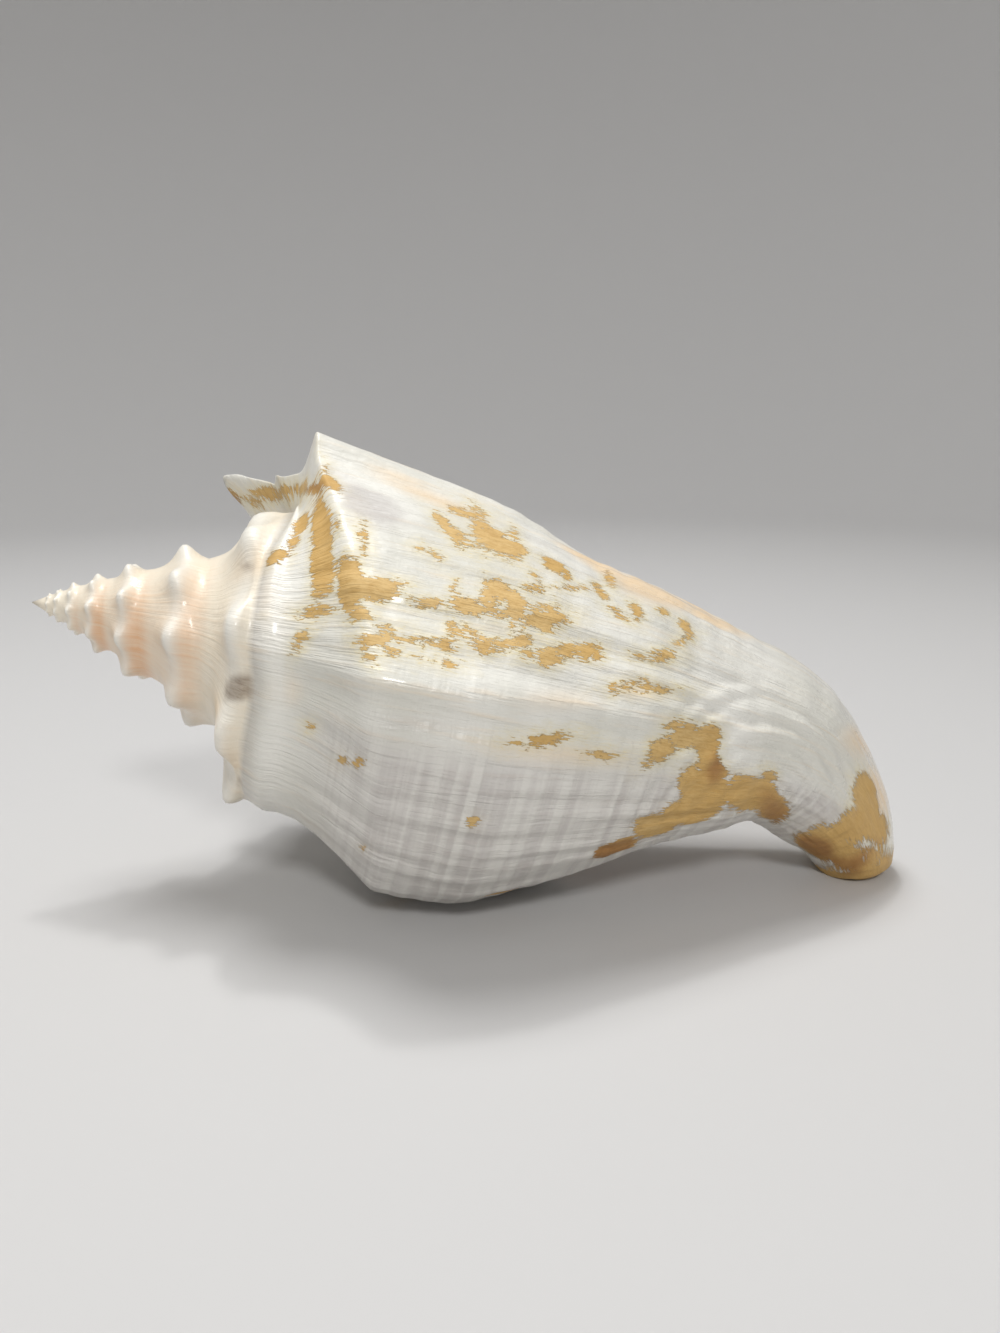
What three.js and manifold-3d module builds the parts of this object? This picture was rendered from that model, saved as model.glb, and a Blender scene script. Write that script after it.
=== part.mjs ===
// A conch shell, grown as one piece, lying on a table on the underside of its last whorl and its beak.
// Sizes in millimetres, angles in degrees. +X runs from the pointed spire to the beak, +Z is up.
//
// The shell coils round an axis that bends down in the beak. A place on it is given by a growth angle and a station:
// the growth angle counts 0 at the top, 90 at the near side, and grows toward the lip, where it ends;
// the station runs from the seam of a whorl (0) over its shoulder (0.7) to the seam of the next (1),
// and on the last whorl down its flank to the tip of the beak (3).

import * as THREE from 'three';
import { mergeVertices } from 'three/addons/utils/BufferGeometryUtils.js';
import Module from 'manifold-3d';

// Pose of the axis.
const APEX = { x: -101.6, z: 67.4 };
const TILT = 12.2;

// The axis lifts a little in the spire.
const LIFT_REACH = [0, 10, 25, 38, 48];
const LIFT = [0, 1.1, 1.5, 1.2, 0];

// Growth.
const LIP = 198;
const START = LIP - 360;
const SPIRE_END = -561;
const SPIRE_REACH = 38.3;
const SPIRE_RADIUS = 19.4;
const REACH_PER_TURN = 1.54;
const RADIUS_PER_TURN = 1.5;

// Shoulder line of the later whorls: growth angle, distance along the axis, radius.
const SHOULDER_ANGLE = [-561, -371, -291, -205, -162, -124, -87, -50, -25, -14, -4, 25, 50, 83, 120, 155, 198];
const SHOULDER_REACH = [38.3, 45.2, 49, 51.2, 51, 50.5, 49, 47, 47.5, 51.5, 53.6, 62, 70, 80, 84, 86, 87];
const SHOULDER_RADIUS = [19.4, 26, 29.5, 32, 33.2, 34.5, 36, 37, 37, 37.6, 41.5, 41.5, 42.5, 44, 44, 46, 49];

// Seam line of the last whorl, and how the seams of the spire follow the shoulder above them.
const SEAM_ANGLE = [-162, -90, -5, 15, 42, 74, 91, 120, 155, 198];
const SEAM_REACH = [42.6, 46.5, 52, 52.4, 51, 52.3, 54.2, 53.8, 54.2, 54.8];
const SEAM_RADIUS = [24, 27, 30.5, 30.6, 30.2, 31.6, 31, 32.8, 33.5, 33.7];
const SEAM_BELOW_SHOULDER = 1.13;
const SEAM_INSIDE_SHOULDER = 0.97;

// The spire's seams pass over into the last seam line from this growth angle on, and its flank opens.
const LAST_SEAM_FROM = -202;
const LAST_SEAM_SPAN = 60;
const OPENING_SPAN = 50;

// Flank of the last whorl: distances along the axis, and the radius there at six growth angles.
const STATIONS = [0, 0.22, 0.46, 0.7, 1, 1.25, 1.5, 1.75, 2, 2.3, 2.6, 2.85, 2.95, 3];
const FLANK_REACH = [100, 116, 130, 143, 156, 170, 186, 200.5, 207.5, 210.5];
const FLANK_ANGLE = [-162, -90, -5, 83, 155, 198];
const FLANK_RADIUS = [
  [21, 28.5, 36.7, 43, 46.3, 49.6],
  [16.5, 25, 33.5, 39, 41.3, 44],
  [13.5, 22, 31.2, 35.5, 34.8, 35.5],
  [11.5, 20, 28, 31, 27.8, 28],
  [10.5, 18, 24.6, 26.5, 22.4, 22],
  [9.5, 16, 20.2, 21.5, 17.4, 17],
  [9, 12, 13.2, 15.5, 15.8, 15.5],
  [11, 10.5, 10, 11, 11, 11],
  [9, 8.5, 8, 9, 9, 9],
  [0, 0, 0, 0, 0, 0],
];

// The beak hooks down along an arc.
const BEAK_START = 158.7;
const BEAK_BEND = 43;

// Even knobs of the spire.
const KNOB_STEP = 43;
const LAST_SPIRE_KNOB = -205;
const SPIRE_KNOB_OUT = 0.13;
const SPIRE_KNOB_BACK = 0.035;
const SPIRE_KNOB_POINT = 1.4;
const SPIRE_KNOB_SINK = 0.25;
const SPIRE_KNOB_SPREAD = 0.22;

// Knobs of the last whorl: growth angle, height outward and toward the spire, width, reach down the flank.
const KNOBS = [
  { at: -163, out: 3, back: 1, width: 12, reach: 0.3 },
  { at: -124, out: 4.5, back: 2.5, width: 13, reach: 0.35 },
  { at: -87, out: 6, back: 5, width: 13, reach: 0.4 },
  { at: -50, out: 8.6, back: 17.6, width: 13, reach: 0.45 },
  { at: -23, out: 1.5, back: 2.5, width: 8, reach: 0.3 },
  { at: -4, out: 6.7, back: 0, width: 8, reach: 0.4 },
  { at: 83, out: 5, back: 1, width: 19, reach: 0.9 },
  { at: 156, out: 2, back: 0, width: 22, reach: 0.6 },
];
const KNOB_STATION = 0.66;
const KNOB_POINT = 1.8;
const KNOB_SPREAD_ABOVE = 0.24;
const KNOB_LEAN_BELOW = 0.3;

// Edge of the lip: it draws back to a notch before the beak.
const EDGE_STATION = [0, 0.9, 1.15, 1.4, 1.65, 1.9, 2.12, 2.3, 2.5, 2.7, 2.85, 3];
const EDGE_ANGLE = [198, 198, 190, 175, 162, 154, 151, 157, 166, 176, 198, 198];
const EDGE_DRAW = 0.6;

// The hollow behind the lip.
const WALL = 2.8;
const WALL_SHARE = 0.45;
const LEAST_ROOM = 0.4;
const SLOPE_SPAN = 0.12;
const HOLLOW_TURN = 205;
const HOLLOW_STEPS = 14;
const HOLLOW_RETREAT = 0.95;
const HOLLOW_RETREAT_TURN = 130;

// Mesh, and the station where the lip ends.
const LIP_END = 2.85;
const COLUMNS = 60;
const WHORLS = 7;
const SEAM_ROWS = [0, 0.25, 0.5, 0.7, 0.86];
const LIP_ROWS = [
  0, 0.12, 0.24, 0.36, 0.48, 0.6, 0.72, 0.86, 1, 1.12, 1.25, 1.38,
  1.5, 1.62, 1.75, 1.88, 2, 2.12, 2.25, 2.4, 2.55, 2.7, LIP_END,
];
const TIP_ROWS = [2.9, 2.94, 2.97];
const BOX = 400;

const RAD = Math.PI / 180;

const smooth = (t) => {
  const c = Math.min(Math.max(t, 0), 1);
  return c * c * (3 - 2 * c);
};

const mix = (a, b, t) => a + (b - a) * t;

// Curve through the points (xs, ys) with no overshoot between them.
const curve = (x, xs, ys) => {
  const last = xs.length - 1;
  const at = Math.min(Math.max(x, xs[0]), xs[last]);
  let i = 0;
  while (i < last - 1 && at >= xs[i + 1]) {
    i += 1;
  }
  const step = (k) => xs[k + 1] - xs[k];
  const rise = (k) => (ys[k + 1] - ys[k]) / step(k);
  const slope = (k) => {
    if (k === 0) return rise(0);
    if (k === last) return rise(last - 1);
    if (rise(k - 1) * rise(k) <= 1e-12) return 0;
    const before = 2 * step(k) + step(k - 1);
    const after = step(k) + 2 * step(k - 1);
    return (before + after) / (before / rise(k - 1) + after / rise(k));
  };
  const h = step(i);
  const t = (at - xs[i]) / h;
  const back = 1 - t;
  return (1 + 2 * t) * back * back * ys[i] + t * back * back * h * slope(i)
    + t * t * (3 - 2 * t) * ys[i + 1] + t * t * (t - 1) * h * slope(i + 1);
};

// Distance along the axis and radius of the shoulder.
const shoulder = (angle) => {
  if (angle < SPIRE_END) {
    const turns = (angle - SPIRE_END) / 360;
    return [SPIRE_REACH * REACH_PER_TURN ** turns, SPIRE_RADIUS * RADIUS_PER_TURN ** turns];
  }
  return [curve(angle, SHOULDER_ANGLE, SHOULDER_REACH), curve(angle, SHOULDER_ANGLE, SHOULDER_RADIUS)];
};

// Distance along the axis and radius of the seam where a whorl starts.
const seam = (angle) => {
  const [reach, radius] = shoulder(angle - 360);
  const late = smooth((angle - LAST_SEAM_FROM) / LAST_SEAM_SPAN);
  return [
    mix(SEAM_BELOW_SHOULDER * reach, curve(angle, SEAM_ANGLE, SEAM_REACH), late),
    mix(SEAM_INSIDE_SHOULDER * radius, curve(angle, SEAM_ANGLE, SEAM_RADIUS), late),
  ];
};

const spread = (x, at, width) => Math.exp(-(((x - at) / width) ** 2));

// Distance along the axis and radius at a growth angle and station.
const profile = (angle, station) => {
  const [seamReach, seamRadius] = seam(angle);
  const [topReach, topRadius] = shoulder(angle);
  const [nextReach, nextRadius] = seam(angle + 360);
  const last = angle >= START - 1e-6;
  const open = last ? smooth((angle - START) / OPENING_SPAN) : 0;
  const reaches = [
    seamReach,
    mix(seamReach, topReach, 0.32),
    mix(seamReach, topReach, 0.68),
    topReach,
    mix(nextReach, FLANK_REACH[0], open),
  ];
  const radii = [
    seamRadius,
    mix(seamRadius, topRadius, 0.18),
    mix(seamRadius, topRadius, 0.62),
    topRadius,
    mix(nextRadius, curve(angle, FLANK_ANGLE, FLANK_RADIUS[0]), open),
  ];
  for (let k = 1; k < FLANK_REACH.length; k += 1) {
    reaches.push(FLANK_REACH[k]);
    radii.push(curve(angle, FLANK_ANGLE, FLANK_RADIUS[k]));
  }
  let reach = curve(station, STATIONS, reaches);
  let radius = curve(station, STATIONS, radii);
  if (angle < LAST_SPIRE_KNOB + KNOB_STEP / 2) {
    const wave = 0.5 + 0.5 * Math.cos(((angle - LAST_SPIRE_KNOB) / KNOB_STEP) * 2 * Math.PI);
    const knob = wave ** SPIRE_KNOB_POINT;
    const weight = spread(station, KNOB_STATION, SPIRE_KNOB_SPREAD);
    radius += SPIRE_KNOB_OUT * topRadius * (knob - SPIRE_KNOB_SINK) * weight;
    reach -= SPIRE_KNOB_BACK * topReach * knob * weight;
  } else {
    for (const knob of KNOBS) {
      const across = Math.exp(-(Math.abs((angle - knob.at) / knob.width) ** KNOB_POINT));
      const above = spread(station, KNOB_STATION, KNOB_SPREAD_ABOVE);
      const below = station >= KNOB_STATION;
      radius += knob.out * across * (below ? spread(station, KNOB_STATION, knob.reach) : above);
      reach -= knob.back * across * (below ? spread(station, KNOB_STATION, KNOB_LEAN_BELOW) : above);
    }
  }
  return [reach, Math.max(radius, 0)];
};

// Point in the room of a distance along the axis, a radius and a growth angle.
const place = (reach, radius, angle) => {
  const turn = Math.max(reach - BEAK_START, 0) / BEAK_BEND;
  const rise = radius * Math.cos(angle * RAD) + curve(reach, LIFT_REACH, LIFT);
  const along = Math.min(reach, BEAK_START) + (BEAK_BEND + rise) * Math.sin(turn);
  const up = rise * Math.cos(turn) - BEAK_BEND * (1 - Math.cos(turn));
  const c = Math.cos(TILT * RAD);
  const s = Math.sin(TILT * RAD);
  return [APEX.x + along * c + up * s, -radius * Math.sin(angle * RAD), APEX.z - along * s + up * c];
};

const surface = (angle, station) => place(...profile(angle, station), angle);

const edge = (station) => curve(station, EDGE_STATION, EDGE_ANGLE);

const points = [];
const triangles = [];

const add = (point) => {
  points.push(point);
  return points.length - 1;
};

const quad = (a, b, c, d) => {
  const corners = [a, b, c, d].filter((v, i, all) => v !== all[(i + 3) % 4]);
  if (corners.length === 4) {
    triangles.push([corners[0], corners[1], corners[2]], [corners[0], corners[2], corners[3]]);
  } else if (corners.length === 3) {
    triangles.push(corners);
  }
};

// Rows run from the apex to the tip of the beak, columns once round from the lip back to the lip.
const SEAM_COUNT = SEAM_ROWS.length;
const FIRST = WHORLS * SEAM_COUNT;
const LAST_LIP = FIRST + LIP_ROWS.length - 1;
const TIP_ROW = LAST_LIP + TIP_ROWS.length + 1;

const bodyStation = (row, part) => {
  if (row > LAST_LIP) return TIP_ROWS[row - LAST_LIP - 1];
  const k = row - FIRST;
  const flank = LIP_ROWS.length - 1 - SEAM_COUNT;
  const open = k < SEAM_COUNT ? SEAM_ROWS[k] : mix(1, LIP_END, (k - SEAM_COUNT) / flank);
  return mix(open, LIP_ROWS[k], smooth(part));
};

const gridPoint = (row, column) => {
  const part = column / COLUMNS;
  if (row < FIRST) {
    const whorl = Math.ceil((FIRST - row) / SEAM_COUNT);
    return surface(START + 360 * (part - whorl), SEAM_ROWS[row - FIRST + whorl * SEAM_COUNT]);
  }
  const station = bodyStation(row, part);
  const drawn = (LIP - edge(station)) * smooth((part - EDGE_DRAW) / (1 - EDGE_DRAW));
  return surface(START + 360 * part - drawn, station);
};

const apex = add(place(0, 0, 0));
const tip = add(surface(0, 3));
const grid = [];
for (let row = 0; row < TIP_ROW; row += 1) {
  grid.push([]);
  for (let column = 0; column < COLUMNS; column += 1) {
    grid[row].push(add(gridPoint(row, column)));
  }
}
grid.push(new Array(COLUMNS).fill(tip));

// The last column is the lip; above and below it the rows close on the first column.
for (let row = 0; row <= TIP_ROW; row += 1) {
  if (row <= FIRST) {
    grid[row].push(grid[row + SEAM_COUNT][0]);
  } else if (row < LAST_LIP) {
    grid[row].push(add(gridPoint(row, COLUMNS)));
  } else {
    grid[row].push(grid[row][0]);
  }
}
for (let row = 0; row < TIP_ROW; row += 1) {
  for (let column = 0; column < COLUMNS; column += 1) {
    quad(grid[row][column], grid[row][column + 1], grid[row + 1][column + 1], grid[row + 1][column]);
  }
}
for (let column = 0; column < COLUMNS; column += 1) {
  triangles.push([apex, grid[0][column + 1], grid[0][column]]);
}
for (let row = 0; row < SEAM_COUNT; row += 1) {
  triangles.push([apex, grid[row][0], grid[row + 1][0]]);
}

// Hollow: rings of points, first along the inside of the wall, then back along the pillar.
const WALL_ROWS = LIP_ROWS.length;
const TOP_CORNER = FIRST + SEAM_COUNT + 1;
const LOW_CORNER = LAST_LIP - 1;
const pillarReach = [SEAM_REACH.at(-1), ...FLANK_REACH.slice(0, 8)];
const pillarRadius = [SEAM_RADIUS.at(-1), ...FLANK_RADIUS.slice(0, 8).map((radii) => radii[0])];
const pillar = (reach) => curve(reach, pillarReach, pillarRadius);

// Point on the inside of the wall, set in square to the outer surface.
const wallPoint = (k, depth) => {
  const shorten = 1 - (HOLLOW_RETREAT / LIP_END) * smooth(depth / HOLLOW_RETREAT_TURN);
  const station = LIP_ROWS[k] * shorten;
  const angle = edge(station) - depth;
  const [reach, radius] = profile(angle, station);
  const wall = Math.min(WALL, WALL_SHARE * Math.max(radius - pillar(reach), LEAST_ROOM));
  const [reachBefore, radiusBefore] = profile(angle, station - SLOPE_SPAN);
  const [reachAfter, radiusAfter] = profile(angle, station + SLOPE_SPAN);
  const run = reachAfter - reachBefore;
  const rise = radiusAfter - radiusBefore;
  const length = Math.hypot(run, rise);
  return place(reach + (wall * rise) / length, radius - (wall * run) / length, angle);
};

const pillarPoint = (row, depth) => {
  const station = bodyStation(row, 0);
  const end = LIP_END - HOLLOW_RETREAT * smooth(depth / HOLLOW_RETREAT_TURN);
  return surface(START - depth, mix(1, end, (station - 1) / (LIP_END - 1)));
};

const ring = (step) => {
  const depth = (HOLLOW_TURN * step) / HOLLOW_STEPS;
  const indices = [];
  for (let k = 0; k < WALL_ROWS; k += 1) {
    if (k === 0) {
      indices.push(step === 0 ? grid[TOP_CORNER][0] : add(pillarPoint(TOP_CORNER, depth)));
    } else if (k === WALL_ROWS - 1) {
      indices.push(step === 0 ? grid[LOW_CORNER][0] : add(pillarPoint(LOW_CORNER, depth)));
    } else {
      indices.push(add(wallPoint(k, depth)));
    }
  }
  for (let row = LOW_CORNER - 1; row > TOP_CORNER; row -= 1) {
    indices.push(step === 0 ? grid[row][0] : add(pillarPoint(row, depth)));
  }
  return indices;
};

const rings = [];
for (let step = 0; step <= HOLLOW_STEPS; step += 1) {
  rings.push(ring(step));
}
const inside = rings[0].length;
for (let step = 0; step < HOLLOW_STEPS; step += 1) {
  for (let k = 0; k < inside; k += 1) {
    const next = (k + 1) % inside;
    quad(rings[step][k], rings[step + 1][k], rings[step + 1][next], rings[step][next]);
  }
}
const deepest = rings[HOLLOW_STEPS];
const middle = [0, 1, 2].map((axis) => deepest.reduce((sum, v) => sum + points[v][axis], 0) / inside);
const end = add(middle);
for (let k = 0; k < inside; k += 1) {
  triangles.push([deepest[(k + 1) % inside], deepest[k], end]);
}

// Thickness of the lip.
for (let k = 0; k < WALL_ROWS - 1; k += 1) {
  const row = FIRST + k;
  quad(grid[row][COLUMNS], rings[0][k], rings[0][k + 1], grid[row + 1][COLUMNS]);
}

// Flat worn spots where the shell touches the table.
const wasm = await Module();
wasm.setup();
const solid = (corners, faces) => new wasm.Manifold(new wasm.Mesh({
  numProp: 3,
  vertProperties: new Float32Array(corners),
  triVerts: new Uint32Array(faces),
}));
const space = new THREE.BoxGeometry(BOX, BOX, BOX).translate(0, 0, BOX / 2);
space.deleteAttribute('normal');
space.deleteAttribute('uv');
const above = mergeVertices(space);
const body = solid(points.flat(), triangles.flat());
const shell = body.intersect(solid(above.attributes.position.array, above.index.array)).getMesh();

const geometry = new THREE.BufferGeometry();
geometry.setAttribute('position', new THREE.BufferAttribute(new Float32Array(shell.vertProperties), 3));
geometry.setIndex(new THREE.BufferAttribute(new Uint32Array(shell.triVerts), 1));
geometry.computeBoundingBox();
const box = geometry.boundingBox;
geometry.translate(-(box.min.x + box.max.x) / 2, -(box.min.y + box.max.y) / 2, 0);
geometry.computeVertexNormals();

const material = new THREE.MeshStandardMaterial({ color: 0xe0dccf, roughness: 0.45, metalness: 0 });
const mesh = new THREE.Mesh(geometry, material);
mesh.name = 'conch_shell';

const group = new THREE.Group();
group.name = 'conch';
group.add(mesh);

export default group;
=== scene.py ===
"""A conch shell lying on its worn belly: its surface, its finish, and the studio that it is seen in.

Sizes are millimetres and degrees in the classes that hold them, and metres in the meshes.
A place on the shell is a growth angle (0 at the top, 90 at the near side, growing toward the lip) and a
station: 0 at the seam of a whorl, 0.7 at its shoulder, 1 at the next seam, then down to the beak's tip at 3.
"""

import logging
import math
from dataclasses import dataclass, field
from enum import Enum
from typing import Any, Sequence

import bpy
import numpy as np
from mathutils import Euler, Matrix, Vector

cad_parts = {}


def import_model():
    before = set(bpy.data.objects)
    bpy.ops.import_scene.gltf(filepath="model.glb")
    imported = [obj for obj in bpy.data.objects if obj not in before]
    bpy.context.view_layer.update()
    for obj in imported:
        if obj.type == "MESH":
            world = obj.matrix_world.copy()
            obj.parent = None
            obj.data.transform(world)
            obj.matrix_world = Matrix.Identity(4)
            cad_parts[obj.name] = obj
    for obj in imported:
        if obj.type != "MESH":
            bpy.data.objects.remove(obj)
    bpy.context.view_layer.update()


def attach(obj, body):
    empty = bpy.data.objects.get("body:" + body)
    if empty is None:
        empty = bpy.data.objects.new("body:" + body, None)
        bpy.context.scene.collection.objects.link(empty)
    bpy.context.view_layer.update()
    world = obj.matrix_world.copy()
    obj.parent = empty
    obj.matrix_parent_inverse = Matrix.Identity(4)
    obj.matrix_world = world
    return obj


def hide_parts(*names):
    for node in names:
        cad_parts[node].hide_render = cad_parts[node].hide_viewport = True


LOG = logging.getLogger("conch")
MM = 0.001


class Field(Enum):
    """Named values that the mesh carries for its finish.

    GROWN is a place in mm: reach, then a circle round the axis, so it runs on over a seam. SKIN is in
    mm too, and the rest go from 0 to 1.
    """

    GROWN = "grown"
    SKIN = "skin"
    # Darker skin, and painted shade along the bottom edge and at the notch.
    BROWN = "brown_skin_and_shade"
    CREAM = "cream"
    FINE = "fine"
    SPIRE = "spire"
    PEACH = "peach"
    # Painted shade in the spire's seams, and a painted shadow line along the last whorl's seam.
    SEAM_SHADE = "seam_shade"
    INNER = "inner"
    SHINE = "shine"
    CORDS = "cords"
    # Painted shade: where the lower facet and other shaded faces are greyed.
    LOWER = "lower"
    # White of the spire's knob crests, and a painted highlight line along the last whorl's seam.
    WHITE = "white"


def smooth(t: np.ndarray) -> np.ndarray:
    """Smooth step of t from 0 to 1."""
    c = np.clip(t, 0.0, 1.0)
    return c * c * (3.0 - 2.0 * c)


def mix(a: Any, b: Any, t: Any) -> Any:
    """The value a share t of the way from a to b."""
    return a + (b - a) * t


def bell(x: np.ndarray, at: float, width: float, power: float = 2.0) -> np.ndarray:
    """A bump of height 1 at a place, falling off over a width."""
    return np.exp(-(np.abs((x - at) / width) ** power))


def curve(x: np.ndarray, xs: Sequence[float], ys: Any) -> np.ndarray:
    """Smooth curve through points with no overshoot between them.

    A cubic runs between each two points, and its slope at a point is the weighted harmonic mean of the
    rises on both sides, or 0 where they differ in sign.

    Args:
        x: where the curve is wanted.
        xs: places of the points, growing.
        ys: heights of the points: numbers, or one array of x's shape for each point.

    Returns:
        The curve's height at each x.
    """
    x = np.asarray(x, float)
    knots = np.asarray(xs, float)
    heights = np.stack([np.broadcast_to(np.asarray(y, float), x.shape) for y in ys])
    at = np.clip(x, knots[0], knots[-1])
    i = np.clip(np.searchsorted(knots, at, side="right") - 1, 0, len(knots) - 2)
    step = np.diff(knots).reshape((-1,) + (1,) * x.ndim)
    rise = np.diff(heights, axis=0) / step
    before = 2.0 * step[1:] + step[:-1]
    after = step[1:] + 2.0 * step[:-1]
    same = rise[:-1] * rise[1:] > 1e-12
    low = np.where(same, rise[:-1], 1.0)
    high = np.where(same, rise[1:], 1.0)
    inner = np.where(same, (before + after) / (before / low + after / high), 0.0)
    slope = np.concatenate([rise[:1], inner, rise[-1:]])

    def pick(values: np.ndarray, index: np.ndarray) -> np.ndarray:
        """The value of each place's own point."""
        return np.take_along_axis(values, index[None], axis=0)[0]

    h = np.diff(knots)[i]
    t = (at - knots[i]) / h
    back = 1.0 - t
    return (
        (1.0 + 2.0 * t) * back * back * pick(heights, i)
        + t * back * back * h * pick(slope, i)
        + t * t * (3.0 - 2.0 * t) * pick(heights, i + 1)
        + t * t * (t - 1.0) * h * pick(slope, i + 1)
    )


@dataclass(frozen=True)
class Knob:
    """A knob of the last whorl: where it is, how far it stands out and leans back, its width and reach."""

    at: float
    out: float
    back: float
    width: float
    reach: float


@dataclass(frozen=True)
class Axis:
    """The line that the shell coils round, which bends down on an arc in the beak."""

    lift_reach: tuple[float, ...] = (0, 10, 25, 38, 48)
    lift: tuple[float, ...] = (0, 1.1, 1.5, 1.2, 0)
    apex_x: float = -97.97
    apex_y: float = 3.66
    apex_z: float = 67.4
    tilt: float = 12.2
    beak_start: float = 158.7
    beak_bend: float = 43.0

    def place(self, reach: np.ndarray, radius: np.ndarray, angle: np.ndarray) -> np.ndarray:
        """Points at a distance along the axis, a radius and a growth angle.

        The axis lifts a little in the spire. Past the start of the beak it follows an arc, and the
        sections turn with it.

        Args:
            reach: distance from the apex along the axis, mm.
            radius: distance from the axis, mm.
            angle: growth angle, degrees.

        Returns:
            The points, in metres, one in each last row.
        """
        turn = np.maximum(reach - self.beak_start, 0.0) / self.beak_bend
        rise = radius * np.cos(np.radians(angle)) + curve(reach, self.lift_reach, self.lift)
        along = np.minimum(reach, self.beak_start) + (self.beak_bend + rise) * np.sin(turn)
        up = rise * np.cos(turn) - self.beak_bend * (1.0 - np.cos(turn))
        c, s = math.cos(math.radians(self.tilt)), math.sin(math.radians(self.tilt))
        x = self.apex_x + along * c + up * s
        y = self.apex_y - radius * np.sin(np.radians(angle))
        z = self.apex_z - along * s + up * c
        return np.stack([x, y, z], axis=-1) * MM


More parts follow.
